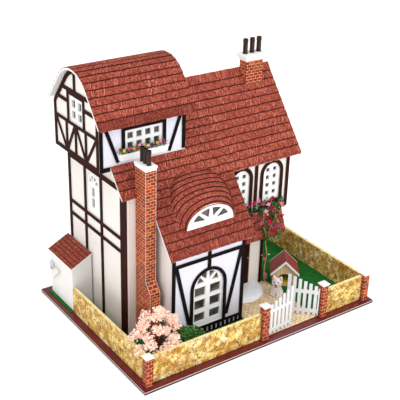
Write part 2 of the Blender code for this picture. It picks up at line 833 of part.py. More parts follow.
def build_windows():
    cx, half, bottom, top = WING_WINDOW
    panes = pane_grid([(84.4, 96.7), (102.1, 114.4)], [(15.6, 25.4), (29.4, 40.2), (44.0, 54.0)])
    panes += fan_panes(cx, top - half + 3.4, 4.5, 12.6, 4, 4.5)
    frame_outline = arched(cx, half - GAP, bottom + GAP, top - GAP)
    prism("window_wing", [frame_outline], panes, front_face(WING_FRONT + 0.8), -2.0, 0, white_wood())

    cx, half, bottom, top = TALL_WINDOW
    panes = pane_grid([(141.9, 146.9)], [(112.6, 122.6), (124.0, 133.8)])
    panes += fan_panes(cx, top - half, 3.0, 8.2, 4, 6)
    frame_outline = arched(cx, half - GAP, bottom + GAP, top - GAP)
    prism("window_left_tall", [frame_outline], panes, side_face(HOUSE_LEFT + 0.4), 0, 2.0, white_wood())

    for name, cx in UPPER_WINDOWS.items():
        panes = pane_grid(
            [(cx - 6.6, cx - 2.2), (cx + 2.2, cx + 6.6)],
            [(107.8, 112.4), (116.6, 121.2), (125.0, 129.6), (133.2, 137.6)],
        )
        outline = arched(cx, UPPER_WINDOW_HALF - GAP, UPPER_WINDOW_BOTTOM + GAP, UPPER_WINDOW_TOP - GAP)
        prism(name, [outline], panes, front_face(UPPER_FRONT + 0.4), -2.0, 0, white_wood())

    x0, x1, z0, z1 = BOX_WINDOW
    columns = [(x0 + 3.1 + 9.3 * k, x0 + 8.9 + 9.3 * k) for k in range(4)]
    panes = pane_grid(columns, [(187.4, 193.6), (197.0, 203.0)])
    outline = box(x0 + GAP, x1 - GAP, z0 + GAP, z1 - GAP)
    prism("window_box_front", [outline], panes, front_face(BOX_FRONT + 0.4), -2.0, 0, white_wood())

    y0, y1, z0, z1 = BOX_SIDE_WINDOW
    columns = [(y0 + 4.0, y0 + 10.6), (y1 - 10.6, y1 - 4.0)]
    panes = pane_grid(columns, [(z0 + 4, z0 + 11.4), (z0 + 14.2, z1 - 4)])
    outline = box(y0 + GAP, y1 - GAP, z0 + GAP, z1 - GAP)
    prism("window_box_left", [outline], panes, side_face(BOX_LEFT + 0.4), 0, 2.0, white_wood())


# ---------------------------------------------------------------- timber framing

TIMBER_T = 0.8
BAR = 3.6


def timber_front(name, bars, holes, y):
    prism(name, bars, holes, front_face(y - GAP), 0, TIMBER_T, dark_timber())


def timber_side(name, bars, holes, x):
    prism(name, bars, holes, side_face(x - GAP - TIMBER_T), 0, TIMBER_T, dark_timber())


def build_timbers():
    top = under_front(WING_FRONT - 2 * TIMBER_T)
    cx, half, bottom, head = WING_WINDOW
    bars = [
        box(WING_LEFT, WING_LEFT + 3.8, FLOOR_Z, top),
        box(WING_RIGHT - 3.8, WING_RIGHT, FLOOR_Z, top),
        box(WING_LEFT, WING_RIGHT, 83.4, 87.0),
        box(cx - 1.8, cx + 1.8, head, top),
        strip((62.2, 84.0), (77.5, 18.0), BAR),
        strip((137.0, 84.0), (121.5, 15.0), BAR),
        arched(cx, half + 3.6, 8.0, head + 3.2),
        box(WING_LEFT, WING_RIGHT, 7.8, 10.2),
        box(WING_LEFT, WING_RIGHT, FLOOR_Z, 2.4),
    ]
    balusters = 15
    pitch = (WING_RIGHT - WING_LEFT - 3.8) / balusters
    for k in range(1, balusters):
        x = WING_LEFT + 1.9 + pitch * k
        bars.append(box(x - 1.5, x + 1.5, 2.0, 8.2))
    timber_front("timber_wing_front", bars, [arched(cx, half, bottom, head)], WING_FRONT)

    y0, half, bottom, head = TALL_WINDOW
    bars = [
        box(HOUSE_FRONT, HOUSE_FRONT + 11.0, FLOOR_Z, 146.0),
        box(125.5, 129.3, FLOOR_Z, 152.0),
        box(156.5, 160.3, FLOOR_Z, 152.0),
        box(HOUSE_BACK - 4.0, HOUSE_BACK, FLOOR_Z, 152.0),
        box(HOUSE_FRONT + 2, HOUSE_BACK, 87.8, 91.2),
        box(HOUSE_FRONT + 2, HOUSE_BACK, 101.5, 104.9),
        box(93.0, HOUSE_BACK, 150.6, 155.5),
    ]
    timber_side("timber_left", bars, [], HOUSE_LEFT)

    above_floor = STOREY_1 + FLOOR_T + GAP
    bars = [
        box(WING_RIGHT + GAP, UPPER_RIGHT, above_floor, above_floor + 4.0),
        box(UPPER_RIGHT - 3.8, UPPER_RIGHT, above_floor, 152.0),
        box(180.7, 184.4, above_floor, 152.0),
    ]
    holes = []
    for cx in UPPER_WINDOWS.values():
        bars.append(arched(cx, UPPER_WINDOW_HALF + 3.8, above_floor + 1, UPPER_WINDOW_TOP + 3.8))
        holes.append(arched(cx, UPPER_WINDOW_HALF, UPPER_WINDOW_BOTTOM, UPPER_WINDOW_TOP))
    timber_front("timber_upper_front", bars, holes, UPPER_FRONT)

    x0, x1, z0, z1 = BOX_WINDOW
    bars = [
        box(BOX_LEFT, BOX_LEFT + 3.4, BOX_BOTTOM, 213.0),
        box(BOX_RIGHT - 3.6, BOX_RIGHT, front_roof(BOX_FRONT) + 1, 213.0),
        box(BOX_LEFT, BOX_RIGHT, 209.3, 213.0),
        box(x0 - 3.4, x1 + 3.4, z0 - 3.0, z1 + 3.4),
        strip((20.6, 212.0), (33.2, 177.0), 3.2),
        strip((100.6, 212.0), (87.6, 176.5), 3.2),
        box(BOX_LEFT, ROOF_LEFT - GAP, BOX_BOTTOM, BOX_BOTTOM + 4.2),
    ]
    timber_front("timber_box_front", bars, [box(*BOX_WINDOW)], BOX_FRONT)

    y0, y1, z0, z1 = BOX_SIDE_WINDOW
    rail = 202.0
    low = BOX_BOTTOM + 1.9
    feet = (158.1, 121.9)
    bars = [
        box(BOX_FRONT, BOX_FRONT + 3.6, BOX_BOTTOM, 222.0),
        box(BOX_BACK - 3.8, BOX_BACK, BOX_BOTTOM, 214.0),
        box(BOX_FRONT, BOX_BACK, BOX_BOTTOM, BOX_BOTTOM + 3.8),
        box(BOX_FRONT, BOX_BACK, rail - 1.8, rail + 1.2),
        box(y0 - 3.2, y1 + 3.2, z0 - 2.0, z1 + 3.0),
        box(y1 + 1, BOX_BACK - 7.0, 219.8, 223.2),
        box(104.6, y0 - 1, 219.8, 223.2),
        box(112.4, 166.0, z1 + 2.4, z1 + 6.0),
        box(139.0, 142.4, z1, 250.6),
    ]
    outer = under_barrel(132.0, BOX_BACK - 0.4, BARREL_T + 3 * GAP)
    inner = under_barrel(132.0, BOX_BACK - 0.4, BARREL_T + 4.6)
    bars.append(outer + inner[::-1])
    for foot, tops in ((feet[0], (179.5, 141.5)), (feet[1], (140.5, 101.5))):
        bars.append(box(foot - 1.6, foot + 1.6, BOX_BOTTOM, rail))
        bars.extend(strip((head_y, rail), (foot, low), 2.8) for head_y in tops)
    bars.append(box(139.4, 142.6, BOX_BOTTOM, rail))
    timber_side("timber_box_left", bars, [box(*BOX_SIDE_WINDOW)], BOX_LEFT)


# ---------------------------------------------------------------- garden pieces

DOG_HOUSE_TURN = 35.8
DOG_HOUSE = (223.6, 78.6)


def turned_face(centre, angle, depth):
    """Drawn in width and height; the extrusion comes towards the piece's own front."""
    a = math.radians(-angle)
    back = Vector((-math.sin(a), math.cos(a), 0)) * depth
    return frame((centre[0] + back.x, centre[1] + back.y, 0), (math.cos(a), math.sin(a), 0), (0, 0, 1))


def build_dog_house():
    planks = material("pale_planks", (0.70, 0.50, 0.27), 0.6)
    half = 12.2
    eave = 17.9
    peak = 29.9
    long = 21.0
    t = 1.4
    wide = half - t
    outer = [(-half, 1.3), (half, 1.3), (half, eave), (0, peak), (-half, eave)]
    inner = [(-wide, 1.3 + t), (wide, 1.3 + t), (wide, eave - 0.4), (0, peak - 2), (-wide, eave - 0.4)]
    place = turned_face(DOG_HOUSE, DOG_HOUSE_TURN, long / 2)
    tube = prism("tube", [outer], [inner], place, 0.5, long - 0.5, planks)
    ends = []
    for depth, holes in ((long / 2, []), (-long / 2 + t, [arched(0, 7.2, 2.7, 16.6, 10)])):
        place = turned_face(DOG_HOUSE, DOG_HOUSE_TURN, depth)
        ends.append(prism("end", [outer], holes, place, 0, t, planks))
    fuse("dog_house", [tube] + ends)
    over = 15.0
    drop = (peak - eave) / half
    top = peak + 2.6
    band = [
        (-over, top - over * drop),
        (0, top),
        (over, top - over * drop),
        (over, top - over * drop - 2.2),
        (0, top - 2.2),
        (-over, top - over * drop - 2.2),
    ]
    place = turned_face(DOG_HOUSE, DOG_HOUSE_TURN, 12.6)
    prism("dog_house_roof", [band], [], place, 0, 25.4, shingle())


def build_dog():
    fur = material("white_fur", (0.82, 0.80, 0.77), 0.7)
    x, y = 201.0, 62.4
    pieces = [
        ellipsoid("body", (x, y, 8.0), (5.6, 5.4, 6.9), fur),
        ellipsoid("haunch_l", (x - 4.6, y - 1.0, 4.4), (3.0, 4.4, 3.2), fur),
        ellipsoid("haunch_r", (x + 3.6, y - 2.6, 4.4), (3.0, 4.4, 3.2), fur),
        ellipsoid("head", (x - 0.6, y - 0.8, 17.0), (5.1, 4.8, 4.8), fur),
        ellipsoid("snout", (x - 2.6, y - 4.0, 15.8), (2.3, 2.7, 1.9), fur),
        ellipsoid("ear_l", (x - 4.0, y + 0.4, 20.9), (1.3, 1.3, 3.0), fur),
        ellipsoid("ear_r", (x + 2.8, y - 0.6, 20.9), (1.3, 1.3, 3.0), fur),
    ]
    fuse("dog", pieces)


def build_planter():
    x0, x1 = 32.1, 82.7
    y0, y1 = 91.4, BOX_FRONT - GAP - TIMBER_T - GAP
    half = ((x1 - x0) / 2, (y1 - y0) / 2)
    centre = ((x0 + x1) / 2, (y0 + y1) / 2)
    rings = [
        square_ring(half[0] - 0.8, half[1], 180.1),
        square_ring(half[0], half[1], 187.0),
        square_ring(half[0] - 1.2, half[1] - 1.2, 187.0),
        square_ring(half[0] - 1.4, half[1] - 1.4, 184.0),
    ]
    loft("planter_box", rings, plan(*centre), white_wood())


def build_plants():
    blossom = material("pink_blossom", (0.86, 0.52, 0.45), 0.9)
    leaf = material("green_leaf", (0.03, 0.12, 0.03), 0.9)
    lumps = [
        ((30, 32, 46), (17, 13, 15)),
        ((17, 30, 41), (12, 11, 10)),
        ((45, 31, 46), (12, 12, 13)),
        ((27, 22, 38), (14, 9, 8)),
        ((36, 42, 48), (13, 8, 12)),
    ]
    crown = [ellipsoid("lump", centre, radii, blossom) for centre, radii in lumps]
    trunk = loft(
        "trunk",
        [round_ring(2.6, 1.4, 8), round_ring(1.8, 12, 8), round_ring(1.6, 40, 8)],
        plan(30, 30),
        blossom,
    )
    fuse("cherry_tree", crown + [trunk])

    lumps = [((72, 33, 12.5), (13, 8.5, 11)), ((64, 32, 17), (9, 8, 10)), ((81, 31, 9), (8, 7, 7.2))]
    fuse("bush", [ellipsoid("lump", centre, radii, leaf) for centre, radii in lumps])

    rings = [
        round_ring(1.0, 1.4, 8),
        round_ring(0.8, 30, 8),
        round_ring(0.8, 60, 8, 1, -16),
        round_ring(0.8, 72, 8, 1, -17.5),
    ]
    stem = loft("stem", rings, plan(206.0, 88.2), leaf)
    lumps = [
        ((207.5, 69.6, 73.5), (7, 4.6, 6)),
        ((199.0, 72.0, 80.0), (11, 6, 7)),
        ((184.0, 74.0, 88.0), (15, 6, 7)),
        ((207.0, 76.0, 94.0), (13, 6, 6)),
        ((166.0, 76.0, 92.0), (14, 5.5, 8)),
        ((207.0, 86.0, 40.0), (4.0, 3.4, 12)),
        ((205.8, 87.2, 14.0), (3.0, 2.9, 11)),
    ]
    fuse("vine", [stem] + [ellipsoid("lump", centre, radii, leaf) for centre, radii in lumps])


clear_scene()
build_ground()
build_fence()
build_gate()
build_lower_walls()
build_upper_walls()
build_floors()
build_box()
build_roofs()
build_chimneys()
build_shed()
build_door()
build_windows()
build_timbers()
build_dog_house()
build_dog()
build_planter()
build_plants()
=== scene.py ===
"""Looks of a miniature half-timbered dollhouse on its garden board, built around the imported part.

Lengths in the sections are millimetres on the board's plan: x from the board's left end, y from its front
edge, z up from its top face. site() turns them into the part's own frame in metres.
"""

import math

import bmesh
import bpy
import numpy as np
from mathutils import Matrix, Vector


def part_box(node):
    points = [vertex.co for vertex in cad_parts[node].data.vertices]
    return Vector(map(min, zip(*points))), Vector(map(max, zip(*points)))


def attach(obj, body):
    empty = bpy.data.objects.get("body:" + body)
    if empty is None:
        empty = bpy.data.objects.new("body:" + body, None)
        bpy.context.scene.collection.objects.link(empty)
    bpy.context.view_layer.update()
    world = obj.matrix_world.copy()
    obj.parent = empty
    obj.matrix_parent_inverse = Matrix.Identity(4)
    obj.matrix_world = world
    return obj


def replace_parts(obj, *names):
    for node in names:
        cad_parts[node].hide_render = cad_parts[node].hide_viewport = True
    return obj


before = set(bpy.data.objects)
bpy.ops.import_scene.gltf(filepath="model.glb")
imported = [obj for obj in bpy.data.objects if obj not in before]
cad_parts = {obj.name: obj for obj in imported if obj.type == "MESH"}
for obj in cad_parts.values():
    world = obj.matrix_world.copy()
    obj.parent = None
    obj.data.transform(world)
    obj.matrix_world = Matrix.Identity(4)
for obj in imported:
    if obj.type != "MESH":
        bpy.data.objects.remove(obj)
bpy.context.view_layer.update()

# ---------------------------------------------------------------- garden board
# The whole house stands on one flat board of wood, lacquered maroon and polished. A thin pale line is painted
# all round the edge as a highlight on the bevel, and the edge below it is painted dark as shade.

board_low, board_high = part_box("base_board")
CORNER = np.array([board_low.x, board_low.y, board_high.z])


def add(tree, kind, inputs=None, **settings):
    """One shader node. inputs gives, by socket name or number, a value or the socket that feeds it."""
    made = tree.nodes.new("ShaderNode" + kind)
    for key, value in settings.items():
        setattr(made, key, value)
    for key, value in (inputs or {}).items():
        if isinstance(value, bpy.types.NodeSocket):
            tree.links.new(value, made.inputs[key])
        else:
            made.inputs[key].default_value = value
    return made


def calc(tree, operation, a, b=0.0, c=0.0):
    return add(tree, "Math", {0: a, 1: b, 2: c}, operation=operation).outputs[0]


def mixed(tree, share, a, b):
    """Colour a turned into colour b by a share from 0 to 1."""
    a, b = ((*c, 1.0) if isinstance(c, tuple) and len(c) == 3 else c for c in (a, b))
    return add(tree, "Mix", {0: share, 6: a, 7: b}, data_type="RGBA").outputs[2]


def noise(tree, where, scale, detail=3.0, rough=0.55):
    return add(tree, "TexNoise", {"Vector": where, "Scale": scale, "Detail": detail,
                                  "Roughness": rough}).outputs[0]


def steps(tree, value, low, high, new_low=0.0, new_high=1.0):
    """The part of value from low to high, spread from new_low to new_high and held there."""
    inputs = {0: value, 1: low, 2: high, 3: new_low, 4: new_high}
    return add(tree, "MapRange", inputs, clamp=True).outputs[0]


def stretched(tree, where, size):
    return add(tree, "Mapping", {"Vector": where, "Scale": size}).outputs[0]


def finish(name, rough, metal=0.0, coat=0.0, shine=0.2):
    """A new material and its tree and shader, with the Object coordinates ready."""
    made = bpy.data.materials.new(name)
    made.use_nodes = True
    tree = made.node_tree
    shader = tree.nodes["Principled BSDF"]
    shader.inputs["Roughness"].default_value = rough
    shader.inputs["Metallic"].default_value = metal
    shader.inputs["Coat Weight"].default_value = coat
    shader.inputs["Coat Roughness"].default_value = 0.1
    shader.inputs["Specular IOR Level"].default_value = shine
    where = add(tree, "TexCoord").outputs["Object"]
    return made, tree, shader, where


def feed(shader, name, value):
    shader.id_data.links.new(value, shader.inputs[name])


def dress(names, made):
    """CAD nodes take a finish in place of the plain one they came with."""
    for name in names:
        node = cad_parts[name]
        node.data.materials.clear()
        node.data.materials.append(made)


lacquer, tree, shader, where = finish("maroon_lacquer", 0.2, coat=0.1, shine=0.3)
cloud = noise(tree, stretched(tree, where, (30, 160, 160)), 1.0, 4.0)
body_colour = mixed(tree, steps(tree, cloud, 0.35, 0.7), (0.105, 0.010, 0.015), (0.155, 0.018, 0.024))
height = add(tree, "SeparateXYZ", {0: where}).outputs[2]
# Painted highlight: a pale band round the board's edge. Painted shade: the dark edge below it.
line = calc(tree, "COMPARE", height, 0.00235, 0.00028)
painted_bevel_shade = steps(tree, height, 0.0016, 0.0020, 1.0, 0.0)
body_colour = mixed(tree, line, body_colour, (0.75, 0.6, 0.52))
feed(shader, "Base Color", mixed(tree, painted_bevel_shade, body_colour, (0.02, 0.01, 0.01)))
fine = noise(tree, where, 900.0, 2.0)
feed(shader, "Roughness", steps(tree, fine, 0.3, 0.8, 0.14, 0.26))
dress(["base_board"], lacquer)

# ---------------------------------------------------------------- lawn
# A sheet of flocked green paper is glued on the board. Its short fibres stand up and lean every way; the
# lighter tips and darker gaps this gives are painted into the colour with noise, as painted highlight and
# painted shade.


def site(points):
    """Metres in the part's frame: the board's front left top corner plus a thousandth of the millimetres."""
    return np.asarray(points, float) * 0.001 + CORNER


def washed(tree, first, value, low, high, amount, second):
    """The first colour with the second laid over it, from none at low up to the amount at high."""
    return mixed(tree, steps(tree, value, low, high, 0.0, amount), first, second)


def raised(tree, shader, height, strength, reach=0.0004):
    """A Bump node from a height, into the shader's normal."""
    bump = add(tree, "Bump", {"Height": height, "Strength": strength, "Distance": reach})
    feed(shader, "Normal", bump.outputs[0])


rng = np.random.default_rng(24)


def put(name, parts, made, body="house", closed=True, smooth=True, sharp=38.0, uv=None, tone=None):
    """One piece from (points, faces) parts in site millimetres, riding on a body of the house."""
    counts = [len(points) for points, _ in parts]
    starts = np.cumsum([0] + counts[:-1])
    faces = [row for start, (_, rows) in zip(starts, parts) for row in (rows + start).tolist()]
    mesh = bpy.data.meshes.new(name)
    mesh.from_pydata(site(np.concatenate([points for points, _ in parts])).tolist(), [], faces)
    if closed:
        shell = bmesh.new()
        shell.from_mesh(mesh)
        bmesh.ops.recalc_face_normals(shell, faces=shell.faces)
        shell.to_mesh(mesh)
        shell.free()
    tones = rng.random(len(parts)).repeat(counts) if tone is None else np.asarray(tone, float)
    mesh.attributes.new("tone", "FLOAT", "POINT").data.foreach_set("value", tones.astype(np.float32))
    if uv is not None:
        corners = np.zeros(len(mesh.loops), np.int32)
        mesh.loops.foreach_get("vertex_index", corners)
        mesh.uv_layers.new(name="UVMap").data.foreach_set("uv", np.asarray(uv, np.float32)[corners].ravel())
    mesh.materials.append(made)
    if smooth:
        mesh.shade_smooth()
        mesh.set_sharp_from_angle(angle=math.radians(sharp))
    piece = bpy.data.objects.new(name, mesh)
    bpy.context.scene.collection.objects.link(piece)
    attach(piece, body)
    return piece


def directions(count, tilt, toward=(0, 0, 1)):
    """Turn matrices: each points toward one way, tips by up to tilt radians, and is turned any way round."""
    turn = rng.random(count) * 2 * np.pi
    lean = rng.random(count) * tilt
    way = rng.random(count) * 2 * np.pi
    up = np.stack([np.sin(lean) * np.cos(way), np.sin(lean) * np.sin(way), np.cos(lean)], 1)
    side = np.cross(up, np.stack([np.cos(turn), np.sin(turn), np.zeros(count) + 0.3], 1))
    side /= np.linalg.norm(side, axis=1)[:, None]
    base = np.array(Vector((0, 0, 1)).rotation_difference(Vector(toward)).to_matrix())
    return np.einsum("ij,njk->nik", base, np.stack([side, np.cross(up, side), up], 2))


def scatter(shape, rows, places, turns, sizes):
    """Copies of one small shape, each turned, sized and moved: place + size * (turn times point)."""
    points = places[:, None] + sizes[:, None, None] * np.einsum("nij,pj->npi", turns, shape)
    faces = rows[None] + (np.arange(len(places)) * len(shape))[:, None, None]
    return points.reshape(-1, 3), faces.reshape(-1, rows.shape[1])


def within(points, x0, x1, y0, y1):
    return (points[:, 0] > x0) & (points[:, 0] < x1) & (points[:, 1] > y0) & (points[:, 1] < y1)


grass, tree, shader, where = finish("flocked_grass", 0.95, shine=0.05)
clump = noise(tree, where, 260.0, 3.0)
# Fine lighter flecks: painted highlight on the fibre tips; the darker clump clouds are painted shade in the
# gaps.
fibre = noise(tree, where, 2600.0, 2.0)
green = mixed(tree, steps(tree, clump, 0.3, 0.75), (0.008, 0.10, 0.016), (0.028, 0.20, 0.036))
green = mixed(tree, steps(tree, fibre, 0.5, 0.85), green, (0.045, 0.24, 0.05))
tone = add(tree, "Attribute", attribute_name="tone").outputs["Fac"]
feed(shader, "Base Color", washed(tree, green, tone, 0.0, 1.0, 0.35, (0.03, 0.22, 0.035)))
raised(tree, shader, fibre, 0.8)
dress(["lawn"], grass)

spots = rng.random((31500, 2)) * (262.9, 187.0) + (5.2, 12.0)
covered = np.zeros(len(spots), bool)
for patch in ((31.0, 202.6, 91.5, 200), (57.0, 142.2, 45.0, 92), (31.0, 60, 80.5, 92), (39.8, 51.8, 55.0, 82),
              (143.2, 209.4, 0, 93), (8.0, 31.5, 147.8, 200), (0, 11.6, 0, 148.6), (0, 11.6, 197.3, 200),
              (134.8, 145.0, 0, 12.9), (209.0, 219.2, 0, 12.9)):
    covered |= within(spots, *patch)
spots = spots[~covered]
fibres = np.array([(-0.16, 0, 0), (0.16, 0, 0), (0.03, 0.10, 1.0)])
places = np.column_stack([spots, np.full(len(spots), 0.95)])
turns = directions(len(spots), 0.7)
points, rows = scatter(fibres, np.array([[0, 1, 2]]), places, turns, 0.7 + 0.7 * rng.random(len(spots)))
own_tones = rng.random(len(spots)).repeat(3)
put("lawn_flock", [(points, rows)], grass, closed=False, smooth=False, tone=own_tones)

# ---------------------------------------------------------------- garden path
# The path is a panel of thin tan slips laid in a herringbone, from the gate to the front step. Each slip is
# glued down with a hairline gap, so the paler bed shows between them.


def stacked(loops, foot=None, head=None):
    """A closed solid over rings of points (rows, count, 3): quads join each ring to the next. The ends are
    fans to a middle point each, or single flat faces when no middle points are given."""
    rows, count = loops.shape[:2]
    ring = np.arange(count)
    ahead = (ring + 1) % count
    start = (np.arange(rows - 1) * count)[:, None]
    last = (rows - 1) * count
    points = loops.reshape(-1, 3)
    sides = np.stack([start + ring, start + ahead, start + count + ahead, start + count + ring],
                     2).reshape(-1, 4)
    if foot is None:
        return points, np.concatenate([sides, [ring[::-1], last + ring]])
    ends = np.stack([np.full(count, last + count), ahead, ring, ring], 1)
    tops = np.stack([np.full(count, last + count + 1), last + ring, last + ahead, last + ahead], 1)
    return np.concatenate([points, [foot, head]]), np.concatenate([sides, ends, tops])


def block(x0, x1, y0, y1, z0, z1, r=0.1):
    """A board with eased edges: one rectangle carried up four levels, drawn in by r at the two ends."""
    inset = np.array([r, 0.0, 0.0, r])[:, None]
    level = np.array([z0, z0 + r, z1 - r, z1])[:, None]
    xs = np.array([x0, x1, x1, x0]) + inset * (1, -1, -1, 1)
    ys = np.array([y0, y0, y1, y1]) + inset * (1, 1, -1, -1)
    return stacked(np.stack([xs, ys, np.broadcast_to(level, xs.shape)], 2))


def speckled(name, rough, first, second, grain, detail=3.0, spread=(0.0, 1.0), relief=0.0, reach=0.0004,
             **look):
    """A finish whose colour drifts from first to second with noise of one grain, or one per axis. A pair
    for rough lets the roughness drift with it, and relief raises the same noise."""
    drifting = isinstance(rough, tuple)
    made, tree, shader, where = finish(name, rough[0] if drifting else rough, **look)
    if isinstance(grain, tuple):
        where, grain = stretched(tree, where, grain), 1.0
    value = noise(tree, where, grain, detail)
    feed(shader, "Base Color", mixed(tree, steps(tree, value, *spread), first, second))
    if drifting:
        feed(shader, "Roughness", steps(tree, value, 0.3, 0.8, *rough))
    if relief:
        raised(tree, shader, value, relief, reach)
    return made


paving, tree, shader, where = finish("tan_paving", 0.7)
tone = add(tree, "Attribute", attribute_name="tone").outputs["Fac"]
streak = noise(tree, stretched(tree, where, (300, 900, 900)), 1.0, 4.0)
slip = mixed(tree, tone, (0.80, 0.60, 0.33), (0.96, 0.84, 0.60))
slip = washed(tree, slip, streak, 0.45, 0.75, 0.6, (0.62, 0.40, 0.18))
feed(shader, "Base Color", slip)
raised(tree, shader, streak, 0.25)
dress(["path"], speckled("paving_bed", 0.85, (0.26, 0.13, 0.045), (0.40, 0.22, 0.08), 1500.0, 2.0,
                         relief=0.3))
WIDE, SEAM = 3.1, 0.6
PATH_LEFT, PATH_RIGHT, PATH_FRONT, PATH_BACK = 144.3, 208.3, 8.4, 91.6
slips = []
for i in range(-2, 24):
    for j in range(-2, 30):
        if (i - j) % 4 not in (0, 3):
            continue
        long_x, long_y = (2, 1) if (i - j) % 4 == 0 else (1, 2)
        x0, y0 = PATH_LEFT + i * WIDE, PATH_FRONT + j * WIDE
        x1, y1 = min(x0 + long_x * WIDE, PATH_RIGHT) - SEAM, min(y0 + long_y * WIDE, PATH_BACK) - SEAM
        x0, y0 = max(x0, PATH_LEFT), max(y0, PATH_FRONT)
        if x1 - x0 > 0.5 and y1 - y0 > 0.5:
            slips.append(block(x0, x1, y0, y1, 0.86, 1.2, 0.08))
put("path_slips", slips, paving)

# ---------------------------------------------------------------- garden walls
# Four strips of fibreboard stand on the board, covered in a printed paper of yellow field stone. The top
# edge shows the paler, plain turn-over of the same paper.


def times(tree, a, b):
    return calc(tree, "MULTIPLY", a, b)


stone, tree, shader, where = finish("stone_print", 0.62, shine=0.15)
drift = add(tree, "TexNoise", {"Vector": where, "Scale": 260.0, "Detail": 3.0}).outputs[1]
bent = add(tree, "Mix", {0: 0.006, 4: where, 5: drift}, data_type="VECTOR").outputs[1]
cells = add(tree, "TexVoronoi", {"Vector": bent, "Scale": 165.0}, feature="F1")
gaps = add(tree, "TexVoronoi", {"Vector": bent, "Scale": 165.0},
           feature="DISTANCE_TO_EDGE").outputs["Distance"]
pick = add(tree, "SeparateColor", {0: cells.outputs["Color"]}).outputs[0]
ramp = add(tree, "ValToRGB", {0: pick})
ramp.color_ramp.elements[0].color = (0.86, 0.60, 0.12, 1)
ramp.color_ramp.elements[1].color = (0.42, 0.17, 0.02, 1)
for spot, colour in ((0.22, (0.90, 0.76, 0.32, 1)), (0.42, (0.74, 0.45, 0.08, 1)),
                     (0.56, (0.90, 0.83, 0.50, 1)),
                     (0.72, (0.60, 0.30, 0.04, 1)), (0.86, (0.84, 0.62, 0.16, 1))):
    ramp.color_ramp.elements.new(spot).color = colour
wash = noise(tree, where, 95.0, 4.0, 0.6)
stains = noise(tree, bent, 210.0, 4.0, 0.75)
rock = washed(tree, ramp.outputs[0], wash, 0.44, 0.60, 0.65, (0.90, 0.74, 0.30))
patches = noise(tree, where, 130.0, 3.0, 0.6)
rock = washed(tree, rock, patches, 0.48, 0.58, 0.75, (0.46, 0.20, 0.025))
rock = washed(tree, rock, stains, 0.40, 0.30, 0.8, (0.94, 0.91, 0.70))
rock = washed(tree, rock, stains, 0.52, 0.58, 0.9, (0.36, 0.14, 0.015))
joint = times(tree, steps(tree, gaps, 0.09, 0.02),
              steps(tree, noise(tree, where, 170.0, 2.0), 0.45, 0.6, 0.0, 0.85))
rock = mixed(tree, joint, rock, (0.14, 0.055, 0.010))
flecks = noise(tree, where, 620.0, 2.0)
rock = washed(tree, rock, flecks, 0.62, 0.68, 0.85, (0.10, 0.04, 0.012))
top_edge = calc(tree, "GREATER_THAN", add(tree, "SeparateXYZ", {0: where}).outputs[2], 0.03165)
pale_top = mixed(tree, steps(tree, stains, 0.45, 0.62), (0.86, 0.78, 0.42), (0.70, 0.50, 0.16))
rock = mixed(tree, top_edge, rock, pale_top)
feed(shader, "Base Color", rock)
raised(tree, shader, stains, 0.25)
dress(["garden_wall_left", "garden_wall_front_left", "garden_wall_front_right", "garden_wall_right"], stone)

# ---------------------------------------------------------------- fence posts
# Each post is a square stick wrapped in printed brick paper, with a separate white pyramid cap glued on top.
# The gate posts are taller than the corner posts.


def span(name):
    """The two corners of a CAD node's box, in site millimetres."""
    return [(np.array(corner) - CORNER) * 1000 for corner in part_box(name)]


def plus(tree, a, b):
    return calc(tree, "ADD", a, b)


def joined(tree, *values):
    """Up to three numbers as one vector."""
    return add(tree, "CombineXYZ", dict(enumerate(values))).outputs[0]


def group(name, inputs, outputs):
    """An empty shader node group with its named inputs and outputs."""
    made = bpy.data.node_groups.new(name, "ShaderNodeTree")
    for label, kind, value in inputs:
        socket = made.interface.new_socket(label, in_out="INPUT", socket_type="NodeSocket" + kind)
        socket.default_value = value
    for label, kind in outputs:
        made.interface.new_socket(label, in_out="OUTPUT", socket_type="NodeSocket" + kind)
    return made, made.nodes.new("NodeGroupInput").outputs, made.nodes.new("NodeGroupOutput").inputs


brick_group, given, result = group(
    "brick_courses",
    [("Length", "Float", 0.005), ("Height", "Float", 0.003)],
    [("Color", "Color"), ("Height", "Float")],
)
tree = brick_group
where = add(tree, "TexCoord").outputs["Object"]
x, y, z = add(tree, "SeparateXYZ", {0: where}).outputs
facing = add(tree, "SeparateXYZ", {0: add(tree, "NewGeometry").outputs["Normal"]}).outputs
sideways = calc(tree, "GREATER_THAN", calc(tree, "ABSOLUTE", facing[0]), 0.6)
run = add(tree, "Mix", {0: sideways, 2: x, 3: plus(tree, y, 0.0011)}, data_type="FLOAT").outputs[0]
row = calc(tree, "DIVIDE", z, given["Height"])
row_number = calc(tree, "FLOOR", row)
shift = times(tree, calc(tree, "PINGPONG", row_number, 1.0), 0.5)
column = plus(tree, calc(tree, "DIVIDE", run, given["Length"]), shift)
cell = joined(tree, calc(tree, "FLOOR", column), row_number, sideways)
chance = add(tree, "TexWhiteNoise", {"Vector": cell}, noise_dimensions="3D").outputs["Value"]
across = times(tree, calc(tree, "PINGPONG", column, 0.5), given["Length"])
upward = times(tree, calc(tree, "PINGPONG", row, 0.5), given["Height"])
rag = times(tree, noise(tree, where, 1500.0, 2.0), 0.00036)
edge = calc(tree, "SUBTRACT", calc(tree, "MINIMUM", across, upward), rag)
solid = steps(tree, edge, -0.00012, 0.00000)
burnt = mixed(tree, chance, (0.40, 0.035, 0.005), (0.17, 0.014, 0.004))
burnt = washed(tree, burnt, chance, 0.86, 0.93, 0.85, (0.09, 0.022, 0.012))
burnt = washed(tree, burnt, chance, 0.14, 0.08, 0.6, (0.58, 0.145, 0.025))
mottle = noise(tree, where, 2100.0, 3.0)
burnt = washed(tree, burnt, mottle, 0.48, 0.72, 0.6, (0.50, 0.085, 0.010))
burnt = washed(tree, burnt, mottle, 0.46, 0.34, 0.5, (0.20, 0.03, 0.014))
tree.links.new(mixed(tree, solid, (0.84, 0.66, 0.42), burnt), result["Color"])
